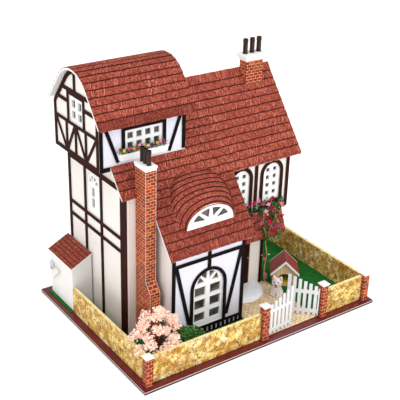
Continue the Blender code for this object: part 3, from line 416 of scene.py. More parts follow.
tree.links.new(solid, result["Height"])


def printed(tree, pattern, **values):
    """The outputs of a node group whose inputs hold these values."""
    node = tree.nodes.new("ShaderNodeGroup")
    node.node_tree = pattern
    for label, value in values.items():
        node.inputs[label].default_value = value
    return node.outputs


def brick_print(name, long, high):
    """Brick paper for one size of brick."""
    made, tree, shader, _ = finish(name, 0.6, shine=0.1)
    bricks = printed(tree, brick_group, Length=long, Height=high)
    feed(shader, "Base Color", bricks["Color"])
    feed(shader, "Roughness", steps(tree, bricks["Height"], 0.0, 1.0, 0.8, 0.5))
    raised(tree, shader, bricks["Height"], 0.5, 0.00025)
    return made


post_brick = brick_print("post_brick", 0.0058, 0.0039)
stack_brick = brick_print("stack_brick", 0.0054, 0.00305)

paint_group, given, result = group(
    "brushed_paint",
    [("Colour", "Color", (0.8, 0.8, 0.8, 1)), ("Shade", "Color", (0.7, 0.7, 0.7, 1)),
     ("Grain", "Float", 1.0)],
    [("Color", "Color"), ("Height", "Float"), ("Roughness", "Float")],
)
tree = paint_group
where = add(tree, "TexCoord").outputs["Object"]
broad = noise(tree, where, 45.0, 3.0)
close = noise(tree, where, 1700.0, 3.0)
brush = noise(tree, stretched(tree, where, (1500, 1500, 140)), 1.0, 3.0)
shade = times(tree, steps(tree, broad, 0.3, 0.75, 0.0, 0.6), given["Grain"])
shade = plus(tree, shade, times(tree, steps(tree, brush, 0.5, 0.9, 0.0, 0.35), given["Grain"]))
tree.links.new(mixed(tree, shade, given["Colour"], given["Shade"]), result["Color"])
tree.links.new(plus(tree, times(tree, close, 0.4), times(tree, brush, 0.6)), result["Height"])
tree.links.new(steps(tree, close, 0.3, 0.8, 0.38, 0.58), result["Roughness"])


def painted(name, colour, shade, grain=1.0, relief=0.12):
    """A painted or printed card surface in one colour, clouded and brushed with a second."""
    made, tree, shader, _ = finish(name, 0.5)
    paint = printed(tree, paint_group, Colour=(*colour, 1), Shade=(*shade, 1), Grain=grain)
    feed(shader, "Base Color", paint["Color"])
    feed(shader, "Roughness", paint["Roughness"])
    raised(tree, shader, paint["Height"], relief, 0.0002)
    return made


white = painted("white_paint", (0.86, 0.86, 0.86), (0.76, 0.75, 0.74), 0.7)


def rings(profile, x, y, count=4):
    """A solid of stacked rings about an upright axis, from (half width, height) pairs: square for a count of
    4, otherwise round."""
    square = count == 4
    turn = np.arange(count) * 2 * np.pi / count + (np.pi / 4 if square else 0)
    half, level = np.array(profile, float).T[:, :, None]
    half = half * (math.sqrt(2) if square else 1)
    height = np.broadcast_to(level, (len(profile), count))
    loops = np.stack([x + half * np.cos(turn), y + half * np.sin(turn), height], 2)
    return stacked(loops, (x, y, profile[0][1]), (x, y, profile[-1][1]))


for name in ("post_corner_left", "post_gate_left", "post_gate_right", "post_corner_right"):
    low, high = span(name)
    x, y, _ = (low + high) / 2
    top = high[2]
    shaft = block(x - 3.45, x + 3.45, y - 3.45, y + 3.45, 0.3, top - 2.3, 0.08)
    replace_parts(put(name + "_shaft", [shaft], post_brick, smooth=False), name)
    cap = [(3.5, -2.3), (4.25, -2.2), (4.35, -2.0), (4.35, -1.2), (4.2, -1.0), (0.25, 0.0)]
    cap_rings = rings([(wide, top + h) for wide, h in cap], x, y)
    put(name + "_cap", [cap_rings], white, smooth=False)

# ---------------------------------------------------------------- picket gate
# Two leaves of flat white pickets on two rails, rising towards the middle. Each leaf hangs on two loops of
# wire that turn round a pin on its post, and the nails through the rails show as small dots.

dress(["gate_leaf_left", "gate_leaf_right"], painted("gate_white", (0.71, 0.71, 0.72), (0.60, 0.59, 0.58),
                                                     0.8))
steel = speckled("hinge_wire", (0.25, 0.5), (0.62, 0.60, 0.56), (0.36, 0.33, 0.30), 1500.0, metal=1.0)


def tube(path, radius, sides=8):
    """A round rod: at each point of the path a circle square to it, joined in order, closed at both ends."""
    path = np.asarray(path, float)
    along = np.gradient(path, axis=0)
    along /= np.linalg.norm(along, axis=1)[:, None]
    spare = np.where(np.abs(along[:, 2:]) > 0.9, [[1.0, 0, 0]], [[0, 0, 1.0]])
    side = np.cross(along, spare)
    side /= np.linalg.norm(side, axis=1)[:, None]
    other = np.cross(along, side)
    turn = np.arange(sides) * 2 * np.pi / sides
    radius = np.broadcast_to(np.asarray(radius, float), (len(path),))[:, None, None]
    circle = np.cos(turn)[None, :, None] * side[:, None] + np.sin(turn)[None, :, None] * other[:, None]
    return stacked(path[:, None] + radius * circle, path[0], path[-1])


RAILS = (6.6, 28.4)
GATE_Y = 8.0
for side, hinge_x, post_x in (("left", 144.9, 143.3), ("right", 209.2, 210.8)):
    pin = []
    for z0 in RAILS:
        turn = np.linspace(0, 2 * np.pi, 17)
        loop = np.column_stack([hinge_x + 0.95 * np.cos(turn), GATE_Y + 0.95 * np.sin(turn), np.full(17, z0)])
        pin.append(tube(loop, 0.22, 6))
        near_loop = hinge_x + (0.9 if side == "right" else -0.9)
        pin.append(tube(np.linspace((post_x, GATE_Y, z0), (near_loop, GATE_Y, z0), 4), 0.22, 6))
    put("gate_hinge_" + side, pin, steel)
for side, hinge_x, turned in (("left", 144.9, 6.0), ("right", 209.2, 135.0)):
    a = math.radians(turned)
    along, outward = np.array([math.cos(a), math.sin(a), 0]), np.array([math.sin(a), -math.cos(a), 0])
    nails = []
    for k in range(6):
        for z0 in RAILS:
            for face in (0.55, -0.55):
                spot = np.array([hinge_x, GATE_Y, z0]) + (3.4 + 5.4 * k) * along + 1.2 * face * outward
                out = 0.55 * face * outward
                nails.append(tube([spot, spot + out * 0.5, spot + out], [0.3, 0.28, 0.12], 6))
    put("gate_nails_" + side, nails, steel, body="gate_" + side)

# ---------------------------------------------------------------- house walls
# The walls are cut from thin fibreboard and covered in smooth card: cream on the sides and the back, and a
# cooler white on the fronts of the wing and of the box above.

cream = painted("cream_card", (0.82, 0.77, 0.73), (0.76, 0.71, 0.67), 0.5, 0.06)
cool = painted("cool_white_card", (0.74, 0.74, 0.83), (0.69, 0.69, 0.78), 0.4, 0.06)
dress(["wall_left", "wall_front_left", "wall_wing_right", "wall_ground_right", "wall_upper_right",
       "wall_recess",
       "wall_upper_front", "box_wall_left", "box_wall_right"], cream)
dress(["wall_wing_front", "box_wall_front"], cool)
dress(["shed_walls"], painted("shed_white", (0.82, 0.80, 0.78), (0.72, 0.70, 0.68), 0.7, 0.1))

# ---------------------------------------------------------------- floors and stairs
# Floors and stairs are bare birch plywood cut by laser. The ground floor is laid with narrow boards that
# run across the house, each of its own tone, with a fine gap between them.

ply, tree, shader, where = finish("birch_ply", 0.55)
tone = add(tree, "Attribute", attribute_name="tone").outputs["Fac"]
swirl = noise(tree, stretched(tree, where, (60, 900, 900)), 1.0, 5.0, 0.6)
ring = add(tree, "TexWave", {"Vector": stretched(tree, where, (12, 260, 260)), "Scale": 1.0,
                             "Distortion": 6.0, "Detail": 2.0})
wood = mixed(tree, steps(tree, swirl, 0.35, 0.7), (0.52, 0.35, 0.19), (0.68, 0.50, 0.30))
wood = washed(tree, wood, ring.outputs["Fac"], 0.3, 0.9, 0.25, (0.42, 0.26, 0.13))
feed(shader, "Base Color", washed(tree, wood, tone, 0.0, 1.0, 0.3, (0.50, 0.30, 0.15)))
raised(tree, shader, swirl, 0.2)
dress(["floor_first", "floor_attic", "stairs", "box_floor"], ply)
boards = []
BOARD, GAP = 5.4, 0.15
for k in range(18):
    y0 = 94.8 + BOARD * k
    cuts = np.sort(rng.choice(np.linspace(40, 194, 12), 2, replace=False))
    for x0, x1 in zip([34.3, *cuts], [*cuts, 199.3]):
        boards.append(block(x0 + 0.07, x1 - 0.07, y0, y0 + BOARD - GAP, 1.0, 1.29, 0.05))
for k in range(8):
    y0, butt = 49.0 + BOARD * k, 99.0 + 6 * (k % 3)
    boards.append(block(60.3, butt, y0, y0 + BOARD - GAP, 1.0, 1.29, 0.05))
    boards.append(block(butt + 0.2, 138.8, y0, y0 + BOARD - GAP, 1.0, 1.29, 0.05))
put("ground_floorboards", boards, ply)

# ---------------------------------------------------------------- timber framing
# Dark strips of stained wood are glued on the card to look like a timber frame. The strips on the sides are
# warm brown, and those on the fronts are nearly black.


def stained(name, dark, light):
    """Stained wood with long streaks, nearly matt."""
    made, tree, shader, where = finish(name, 0.6, shine=0.03)
    streak = noise(tree, stretched(tree, where, (700, 700, 90)), 1.0, 5.0, 0.65)
    feed(shader, "Base Color", mixed(tree, steps(tree, streak, 0.4, 0.8), dark, light))
    feed(shader, "Roughness", steps(tree, streak, 0.3, 0.8, 0.5, 0.7))
    raised(tree, shader, streak, 0.3)
    return made


brown_oak = stained("brown_timber", (0.024, 0.006, 0.004), (0.055, 0.015, 0.009))
black_oak = stained("black_timber", (0.006, 0.004, 0.004), (0.018, 0.011, 0.010))
dress(["timber_left", "timber_box_left", "timber_upper_front"], brown_oak)
dress(["timber_wing_front", "timber_box_front"], black_oak)

# ---------------------------------------------------------------- shingled roofs
# The roofs are white card covered in embossed red-brown paper. Each course of shingles laps over the one
# below, so its lower edge stands a little proud, and short strokes of grain slant to and fro in each tile.

card = painted("white_card", (0.84, 0.83, 0.81), (0.74, 0.72, 0.70), 0.8, 0.1)
dress(["roof_front", "roof_back", "roof_barrel", "roof_porch", "roof_shed", "roof_dormer"], card)

shingle_group, given, result = group(
    "shingle_print",
    [("Slant", "Float", 1.0), ("Strokes", "Float", 6.0), ("Shade", "Float", 0.0)],
    [("Color", "Color"), ("Height", "Float")],
)
tree = shingle_group
uv = add(tree, "UVMap", uv_map="UVMap").outputs[0]
u, v, _ = add(tree, "SeparateXYZ", {0: uv}).outputs
course = calc(tree, "FLOOR", v)
up = calc(tree, "FRACT", v)
u = plus(tree, u, times(tree, calc(tree, "MODULO", course, 2.0), 0.47))
tile = calc(tree, "FLOOR", u)
over = calc(tree, "FRACT", u)
chance = add(tree, "TexWhiteNoise", {"Vector": joined(tree, tile, course)},
             noise_dimensions="2D").outputs["Value"]
lean = times(tree, calc(tree, "SUBTRACT", times(tree, calc(tree, "ROUND", chance), 2.0), 1.0), given["Slant"])
stroke_u = times(tree, plus(tree, u, times(tree, up, times(tree, lean, 0.55))), given["Strokes"])
stroke_at = joined(tree, stroke_u, times(tree, v, 2.6), times(tree, chance, 9.0))
ragged = noise(tree, stroke_at, 1.0, 2.0, 0.5)
phase = plus(tree, times(tree, stroke_u, 6.2832), times(tree, ragged, 9.0))
stroke = plus(tree, times(tree, calc(tree, "SINE", phase), 0.15), plus(tree, times(tree, ragged, 0.5), 0.25))
patch = noise(tree, joined(tree, times(tree, u, 0.35), times(tree, v, 0.3)), 1.0, 3.0)
red = mixed(tree, steps(tree, stroke, 0.40, 0.54), (0.095, 0.012, 0.008), (0.42, 0.076, 0.046))
red = washed(tree, red, stroke, 0.56, 0.66, 0.9, (0.80, 0.27, 0.18))
red = washed(tree, red, patch, 0.35, 0.7, 0.35, (0.27, 0.042, 0.028))
red = washed(tree, red, chance, 0.0, 1.0, 0.35, (0.20, 0.026, 0.016))
# Shade darkens the whole print towards deep red-brown: painted shade for patches of roof that lie in shadow.
red = mixed(tree, given["Shade"], red, (0.10, 0.014, 0.010))
# Painted shadow: a dark band just under each butt, cast by the lapped course above, and painted shade on the
# butt's own edge.
butt = calc(tree, "MAXIMUM", steps(tree, up, 0.0, 0.06, 0.8, 0.0), steps(tree, up, 0.84, 0.94, 0.0, 0.97))
red = mixed(tree, butt, red, (0.035, 0.008, 0.008))
near = steps(tree, calc(tree, "PINGPONG", over, 0.5), 0.0, 0.06, 0.75, 0.0)
split = times(tree, near, steps(tree, up, 0.0, 0.8, 1.0, 0.3))
tree.links.new(mixed(tree, split, red, (0.09, 0.015, 0.012)), result["Color"])
tree.links.new(calc(tree, "SUBTRACT", stroke, split), result["Height"])


def shingle_paper(name, slant, strokes, shade=0.0):
    made, tree, shader, _ = finish(name, 0.82, shine=0.08)
    shingles = printed(tree, shingle_group, Slant=slant, Strokes=strokes, Shade=shade)
    feed(shader, "Base Color", shingles["Color"])
    feed(shader, "Roughness", steps(tree, shingles["Height"], 0.2, 0.8, 0.92, 0.7))
    raised(tree, shader, shingles["Height"], 1.0, 0.0006)
    return made


slanted = shingle_paper("slanted_shingle", 1.0, 4.0)
upright = shingle_paper("upright_shingle", 0.08, 4.0)
# Half shade: painted shade for the steep lowest course of the barrel roof.
shaded = shingle_paper("shaded_shingle", 1.0, 4.0, 0.5)
# The wing's roof takes a darker paper: painted shade for the shadow that falls on it from the box and the
# chimney.
shaded_wing_paper = shingle_paper("shaded_wing_shingle", 1.0, 4.0, 0.28)


def closed_sheet(top, bottom):
    """A thin solid between two grids of points with the same rows and columns."""
    r, c = top.shape[:2]
    index = np.arange(r * c).reshape(r, c)
    quads = np.stack([index[:-1, :-1], index[:-1, 1:], index[1:, 1:], index[1:, :-1]], 2).reshape(-1, 4)
    rim = np.concatenate([index[0, :-1], index[:-1, -1], index[-1, :0:-1], index[:0:-1, 0]])
    ahead = np.roll(rim, -1)
    edge = np.stack([ahead, rim, rim + r * c, ahead + r * c], 1)
    points = np.concatenate([top.reshape(-1, 3), bottom.reshape(-1, 3)])
    return points, np.concatenate([quads, quads[:, ::-1] + r * c, edge])


TILE = 5.6


def courses(surface, across, up, course, tile=TILE, lift=0.75, seed=1, cell=1.4, wave=1.0):
    """Lapped shingles on surface(u, v), u along the eave and v up the slope in mm. The height over the card
    is lift at each butt and falls in a line to a fifth of it at the head; each butt line wavers by a sum of
    two sines and a small step per tile. Returns points, faces and the paper's own coordinates."""
    own = np.random.default_rng(seed)
    first, last = math.floor(up[0] / course + 1e-6), math.ceil(up[1] / course - 1e-6)
    number = np.arange(first, last)
    share = np.array([0.0, 0.35, 0.7, 0.975])
    nominal = (number[:, None] + share).ravel()
    height = np.tile(lift * (1 - 0.8 * share / 0.975), len(number))
    us = np.linspace(*across, max(6, int((across[1] - across[0]) / cell)) + 1)
    phase = own.random((last - first + 1, 2)) * 2 * np.pi
    jog = own.random((last - first + 1, 400)) - 0.5
    line = 0.16 * np.sin(us / 7.1 + phase[:, :1]) + 0.10 * np.sin(us / 2.3 + phase[:, 1:])
    line = (line + 0.22 * jog[:, (np.abs(us) / tile).astype(int) % 400]) * wave
    which = np.repeat(np.arange(len(number)), 4)
    part = np.tile(share, len(number))[:, None]
    waver = line[which] * (1 - part) + line[which + 1] * part
    v = np.clip(nominal[:, None] * course + waver, *up)
    v[-1] = up[1]
    uu = np.broadcast_to(us, v.shape)
    spot, out = surface(uu, v)
    top, bottom = spot + out * height[:, None, None], spot + out * 0.02
    points, faces = closed_sheet(top, bottom)
    paper = np.stack([uu / tile, np.clip(np.broadcast_to(nominal[:, None], v.shape), up[0] / course,
                                         up[1] / course)], 2)
    return points, faces, np.tile(paper.reshape(-1, 2), (2, 1))


def slope(start, along, up):
    """A flat roof surface: start + u * along + v * up, with along and up made one long."""
    start, along, up = (np.array(a, float) for a in (start, along, up))
    along, up = along / np.linalg.norm(along), up / np.linalg.norm(up)
    out = np.cross(along, up)
    return lambda u, v: (start + u[..., None] * along + v[..., None] * up,
                         np.broadcast_to(out, (*u.shape, 3)))


def roof_skin(name, patches, made):
    parts = [(points, faces) for points, faces, _ in patches]
    put(name, parts, made, uv=np.concatenate([paper for _, _, paper in patches]),
        sharp=25.0)


def eave_lip(x0, x1, y, z, deep=1.9):
    """The paper turned down over the card's front edge: a strip 0.3 mm thick, its foot near deep."""
    xs = np.linspace(x0, x1, 2 + int(x1 - x0))
    foot = -deep + 0.12 * np.sin(xs / 2.7) + 0.08 * np.sin(xs / 1.1)
    edges = (foot, np.full(len(xs), 0.5))
    front = np.stack([np.column_stack([xs, np.full(len(xs), y - 0.35), z + h]) for h in edges])
    points, faces = closed_sheet(front, front + (0, 0.33, 0))
    paper = np.stack([front[..., 0] / TILE, np.array([[0.3], [0.6]]) + 0 * front[..., 0]], 2)
    return points, faces, np.tile(paper.reshape(-1, 2), (2, 1))


ROOF_LEFT, BOX_RIGHT, ROOF_RIGHT = 25.25, 105.95, 234.4
PITCH = 1.25
LONG = math.hypot(1, PITCH)
COURSE = 8.16
front = slope((0, 38.1, 98.9), (1, 0, 0), (0, 1, PITCH))
at_eave, at_box, at_ridge = ((y - 38.1) * LONG for y in (78.8, 98.55, 139.9))
roof_skin("shingles_front", [
    courses(front, (BOX_RIGHT, ROOF_RIGHT), (at_eave, at_ridge), COURSE, seed=3),
    courses(front, (ROOF_LEFT, BOX_RIGHT), (at_eave + 3.3, at_box), COURSE, seed=3),
    courses(front, (ROOF_LEFT, 39.8), (at_eave + 0.1, at_eave + 3.3), COURSE, seed=3),
    eave_lip(148.4, ROOF_RIGHT, 78.8, 149.78),
    eave_lip(ROOF_LEFT, 39.8, 78.8, 149.78),
], slanted)
roof_skin("shingles_wing", [
    courses(front, (51.0, 148.0), (0.0, at_eave + 3.35), COURSE, seed=3),
    eave_lip(51.0, 148.0, 38.1, 98.9),
    eave_lip(148.3, 216.9, 74.5, 68.5, 3.4),
], shaded_wing_paper)
back = slope((0, 192.3, 161.35), (-1, 0, 0), (0, -1, PITCH))
roof_skin("shingles_back", [
    courses(back, (-ROOF_RIGHT, -BOX_RIGHT), (0.0, 82.9), COURSE, seed=7),
    courses(back, (-BOX_RIGHT, -ROOF_LEFT), (0.0, 15.9), COURSE, seed=7),
], slanted)


def barrel_profile():
    """Half of the barrel roof's curve from its eave up to the crown: a straight pitch of 1.25 for 21.3 mm,
    then a quadratic curve that eases to level. Returns offsets from the middle, heights and lengths."""
    straight = np.linspace(0, 1, 45, endpoint=False)
    t = np.linspace(0, 1, 90)
    off = np.concatenate([47.3 - 21.3 * straight, (1 - t) ** 2 * 26.0 + 2 * t * (1 - t) * 15.7])
    rise = np.concatenate([26.625 * straight, (1 - t) ** 2 * 26.625 + (2 * t * (1 - t) + t * t) * 39.5])
    return off, rise, np.concatenate([[0], np.cumsum(np.hypot(np.diff(off), np.diff(rise)))])


off, rise, run = barrel_profile()
half_length = run[-1]
TILT = 3.5 / 94.6


def barrel(side):
    """The barrel's outer curve from its eave at v 0 to the crown, sheared upwards by TILT times the distance
    from the front eave; side is -1 for the front and 1 for the back."""

    def surface(u, v):
        y = 134.8 + side * np.interp(v, run, off)
        z = 216 + np.interp(v, run, rise) + TILT * (y - 87.5)
        ty = side * np.interp(v, run, np.gradient(off, run))
        tz = np.interp(v, run, np.gradient(rise, run)) + TILT * ty
        size = np.hypot(ty, tz)
        out = np.stack([np.zeros_like(y), side * tz / size, -side * ty / size], -1)
        return np.stack([-side * u, y, z], -1), out

    return surface


tread = half_length / 9
roof_skin("shingles_barrel", [
    courses(barrel(-1), (8.5, 109.4), (tread, half_length), tread, seed=11),
    courses(barrel(1), (-109.4, -8.5), (0.0, half_length), tread, seed=12),
], slanted)
# The barrel's lowest course and its lip take the darker paper: painted shade where the curve turns down
# steeply.
roof_skin("shingles_barrel_eave", [
    courses(barrel(-1), (8.5, 109.4), (0.0, tread + 0.8), tread, seed=11),
    eave_lip(8.5, 109.4, 87.5, 216.2, 2.4),
], shaded)

porch = slope((0, 74.5, 68.5), (1, 0, 0), (0, 1, 2.45))
roof_skin("shingles_porch", [courses(porch, (142.0, 216.9), (0.0, 23.4), 7.8, 5.2, seed=17)], slanted)
shed = slope((6.7, 0, 50.2), (0, -1, 0), (1, 0, 0.497))
roof_skin("shingles_shed", [courses(shed, (-197.0, -146.9), (0.0, 26.0), 4.35, 3.6, 0.4, seed=19)], slanted)

ridge_line = np.array([(-5.2, -6.1), (-3.0, -3.2), (-1.2, -0.75), (0, 0.0), (1.2, -0.75), (3.0, -3.2),
                       (5.2, -6.1)])
ridge_x = np.linspace(106.2, 234.3, 60)
ridge_top = np.stack([np.broadcast_to(ridge_x[:, None], (60, 7)),
                      140.18 + np.broadcast_to(ridge_line[:, 0], (60, 7)),
                      227.6 + ridge_line[:, 1] + 0.12 * np.sin(ridge_x[:, None] / 3.1)], 2)
points, faces = closed_sheet(ridge_top, ridge_top - (0, 0, 0.7))
paper = np.stack([ridge_top[..., 0] / TILE, np.broadcast_to(0.5 + ridge_line[:, 0] / 14, (60, 7))],
                 2).reshape(-1, 2)
put("ridge_strip", [(points, faces)], slanted, uv=np.tile(paper, (2, 1)))

# ---------------------------------------------------------------- eyebrow dormer
# A curved hood of the same paper grows out of the wing's roof and closes down to nothing at the back. Its
# courses follow the arch, with the strokes running straight up and down. A white fan window fills its face.


def hood(u, v):
    """Arch of the hood at v mm behind its face, for u from -1 to 1 across it: an ellipse whose width swells
    and then closes, and whose crown falls in a line to nothing at 33.8 mm, set on the roof's own slope."""
    depth = np.clip(v / 33.8, -0.06, 0.985)
    d = np.clip(depth, 0, None)
    half = 27.0 * (1 + 0.2 * np.sin(np.pi * np.minimum(d / 0.55, 1) / 2)) * np.maximum(1 - d**3.2, 0) ** 0.45
    crown = 21.5 * np.maximum(1 - d**1.15, 0)
    y = 52.0 + 33.8 * depth
    base = 226.5 - PITCH * (140.18 - y)
    turn = (1 - u) * np.pi / 2
    rise = np.maximum(np.sin(turn), 0) ** 0.85
    skirt = 1.4 * np.exp(-((rise / 0.16) ** 2)) * np.clip(d * 6, 0, 1)
    spot = np.stack([103.1 + (half + 0.25 + skirt) * np.cos(turn), y, base + 0.25 + crown * rise], -1)
    out = np.stack([np.cos(turn), -0.25 * np.ones_like(turn), 0.25 + np.sin(turn)], -1)
    return spot, out / np.linalg.norm(out, axis=-1, keepdims=True)


points, faces, paper = courses(hood, (-1, 1), (-1.7, 33.0), 4.25, TILE, 0.9, seed=23, cell=0.035, wave=0.6)
paper[:, 0] = paper[:, 0] * TILE * 8.0
roof_skin("shingles_dormer", [(points, faces, paper)], upright)

# ---------------------------------------------------------------- chimneys
# Two fibreboard stacks wrapped in brick paper carry white stepped slabs. The paper's white core shows at the
# folded corners. Three dark glazed pots with rolled rims stand in a row on each slab.

dress(["chimney_left", "chimney_right"], stack_brick)
glaze = speckled("brown_glaze", (0.18, 0.4), (0.012, 0.006, 0.005), (0.075, 0.024, 0.014), (600, 600, 120),
                 4.0,
                 (0.4, 0.75), coat=0.1, shine=0.15)


def slab(hx, hy, levels, x, y):
    """Stacked rectangles, each hx by hy made wider by its own margin, from (margin, height) pairs."""
    margin, height = np.array(levels, float).T[:, :, None]
    xs = x + (hx + margin) * (-1, 1, 1, -1)
    ys = y + (hy + margin) * (-1, -1, 1, 1)
    return stacked(np.stack([xs, ys, np.broadcast_to(height, xs.shape)], 2))


POT = [(0.98, 0.0), (1.0, 0.03), (0.93, 0.07), (0.90, 0.15), (0.88, 0.70), (0.92, 0.78), (1.0, 0.80),
       (1.0, 0.87),
       (0.90, 0.89), (0.90, 0.95), (1.0, 0.98), (0.92, 1.0), (0.68, 0.985), (0.62, 0.80)]
for side, x, y, hx, hy, z, thick, neck, brim, wide, tall, pots in (
    ("left", 45.8, 72.0, 5.4, 8.7, 178.9, 4.4, 0.4, 0.9, 2.4, 13.8, [(0, -5.2), (0, 0.2), (0, 5.6)]),
    ("right", 208.45, 134.05, 10.25, 5.55, 235.9, 6.4, 0.9, 2.2, 2.7, 14.8, [(-8.4, 0), (0, 0), (8.4, 0)]),
):
    edge = [(neck - 0.15, 0), (neck, 0.15), (neck, thick * 0.42), (brim - 0.2, thick * 0.46),
            (brim, thick * 0.5),
            (brim, thick - 0.3), (brim - 0.25, thick), (brim - 2.2, thick + 0.25)]
    two_steps = slab(hx, hy, [(m, z + h) for m, h in edge], x, y)
    cap = put(f"chimney_slab_{side}", [two_steps], white, smooth=False)
    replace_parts(cap, f"chimney_{side}_cap")
    pot = [(wide * w, z + thick + 0.2 + h * tall) for w, h in POT]
    put(f"chimney_pots_{side}", [rings(pot, x + dx, y + dy, 20) for dx, dy in pots],
        glaze, sharp=50.0)
folds = [[(x, 55.8, 1.4), (x, 55.8, 57.9), (x, 63.3, 67.4), (x, 63.3, 178.4)] for x in (40.4, 51.2)]
put("chimney_corners", [tube(np.array(fold), 0.13, 5) for fold in folds], card)

# ---------------------------------------------------------------- windows
# Each window is one white laser-cut grille let into its wall, with a sheet of film glued behind it, coloured
# near black and nearly opaque as painted shade for the dark rooms behind.
# A thin raised rim frames the openings, and a sill board stands out under the larger ones.

names = ["window_wing", "window_left_tall", "window_upper_left", "window_upper_right", "window_box_front",
         "window_box_left", "window_dormer"]
dress(names, white)
# Near black film: painted shade for the dark inside seen through the windows.
film = speckled("window_film", 0.08, (0.02, 0.022, 0.018), (0.11, 0.10, 0.085), 90.0, 2.0, (0.35, 0.65), 0.25,
                0.002, shine=0.5)
film.node_tree.nodes["Principled BSDF"].inputs["Alpha"].default_value = 0.86
for name in names:
    low, high = span(name)
    if name == "window_dormer":
        swing = np.linspace(0, np.pi, 33)
        middle, half, deep = (low[0] + high[0]) / 2, (high[0] - low[0]) / 2 - 1.5, high[2] - low[2] - 1.5
        xs, ys = middle + half * np.cos(swing), np.full(33, high[1] - 0.45)
        levels = (low[2] + 0.6 + rise * np.sin(swing) for rise in (0.0, deep))
        fan = np.stack([np.column_stack([xs, ys, level]) for level in levels])
        pane = closed_sheet(fan, fan + (0, 0.2, 0))
    elif high[0] - low[0] < 4:
        side_gap, top_gap = (2.5, 3.6) if name == "window_left_tall" else (1.5, 3.0)
        pane = block(high[0] + 0.06, high[0] + 0.26, low[1] + side_gap, high[1] - side_gap, low[2] + 1.5,
                     high[2] - top_gap, 0.04)
    else:
        pane = block(low[0] + 2.5, high[0] - 2.5, high[1] + 0.06, high[1] + 0.26, low[2] + 1.5, high[2] - 3.0,
                     0.04)
    put("film_" + name[7:], [pane], film)

# ---------------------------------------------------------------- front door and step
# The front door is a dark stained leaf with raised panels and a brass knob. It stands behind a white half
# round step of two polished tiers.

brass = speckled("brass_knob", (0.2, 0.45), (0.72, 0.48, 0.18), (0.50, 0.31, 0.10), 1200.0, 2.0, metal=1.0)
low, high = span("front_door")
left, right, face, foot, head = low[0], high[0], high[1], low[2], high[2]
leaf = [block(left, right, face - 1.4, face, foot, head, 0.12)]
for x0, x1 in ((left + 0.15, left + 4.0), (right - 4.0, right - 0.15), (left + 12.7, right - 12.7)):
    leaf.append(block(x0, x1, face - 1.95, face - 1.3, foot + 0.2, head - 0.2, 0.15))
for z0, z1 in ((foot + 0.2, foot + 8), (foot + 33, foot + 37), (head - 5, head - 0.2)):
    leaf.append(block(left + 3.8, right - 3.8, face - 1.9, face - 1.3, z0, z1, 0.15))
for x0, x1 in ((left + 5.4, left + 11.4), (right - 11.4, right - 5.4)):
    for z0, z1 in ((foot + 10, foot + 31), (foot + 39, head - 7)):
        leaf.append(block(x0, x1, face - 1.75, face - 1.3, z0, z1, 0.3))
door = put("door_leaf", leaf, brown_oak, body="front_door")
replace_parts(door, "front_door")
knob_at = np.array([right - 2.2, face - 1.9, 36.0])
reach = np.array([0, 0.5, 0.9, 1.3, 1.8, 2.1, 2.2])[:, None] * (0, -1, 0)
knob = tube(knob_at + reach, [0.95, 0.9, 0.45, 0.45, 0.95, 0.7, 0.2], 14)
put("door_knob", [knob], brass, body="front_door", sharp=60.0)

porcelain = speckled("step_white", (0.16, 0.3), (0.92, 0.94, 0.98), (0.87, 0.89, 0.93), 120.0, 3.0,
                     (0.3, 0.8), coat=0.4)
STEP_X, STEP_Y = 171.0, 89.8
levels = np.array([(25.6, 1.25), (26.3, 1.4), (26.6, 1.9), (26.6, 2.7), (26.2, 3.2), (25.4, 3.4),
                   (24.4, 3.45),
                   (24.0, 3.8), (24.0, 4.8), (23.7, 5.3), (22.9, 5.6)])
radius, height = levels.T[:, :, None]
past = np.degrees(np.arcsin((91.65 - STEP_Y) / radius))
angle = np.radians(180 - past + np.linspace(0, 1, 49) * (180 + 2 * past))
tiers = np.stack([STEP_X + radius * np.cos(angle), STEP_Y + radius * np.sin(angle),
                  np.broadcast_to(height, angle.shape)], 2)
step = stacked(tiers, (STEP_X, 80, 1.25), (STEP_X, 80, 5.6))
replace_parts(put("half_round_step", [step], porcelain, sharp=45.0), "door_step")
put("porch_post", [block(199.4, 202.2, 90.6, 91.8, 1.3, 87.0, 0.12),
                   block(141.8, 143.8, 90.8, 91.8, 1.3, 87.0, 0.12)], brown_oak)

# ---------------------------------------------------------------- window box
# A white trough hangs under the front window of the box. It is filled with dark leaves and small paper
# flowers in yellow, pink, crimson and white.


def foliage(name, colours, rough=0.75):
    """Paper leaves or petals: a run of colours by each one's own tone, with fine veins."""
    made, tree, shader, where = finish(name, rough)
    tone = add(tree, "Attribute", attribute_name="tone").outputs["Fac"]
    ramp = add(tree, "ValToRGB", {0: tone})
    ramp.color_ramp.elements[0].color = (*colours[0], 1)
    ramp.color_ramp.elements[1].color = (*colours[-1], 1)
    for k, colour in enumerate(colours[1:-1], 1):
        ramp.color_ramp.elements.new(k / (len(colours) - 1)).color = (*colour, 1)
    vein = noise(tree, where, 2500.0, 2.0)
    feed(shader, "Base Color", washed(tree, ramp.outputs[0], vein, 0.4, 0.8, 0.35, colours[0]))
    raised(tree, shader, vein, 0.3, 0.0002)
    return made


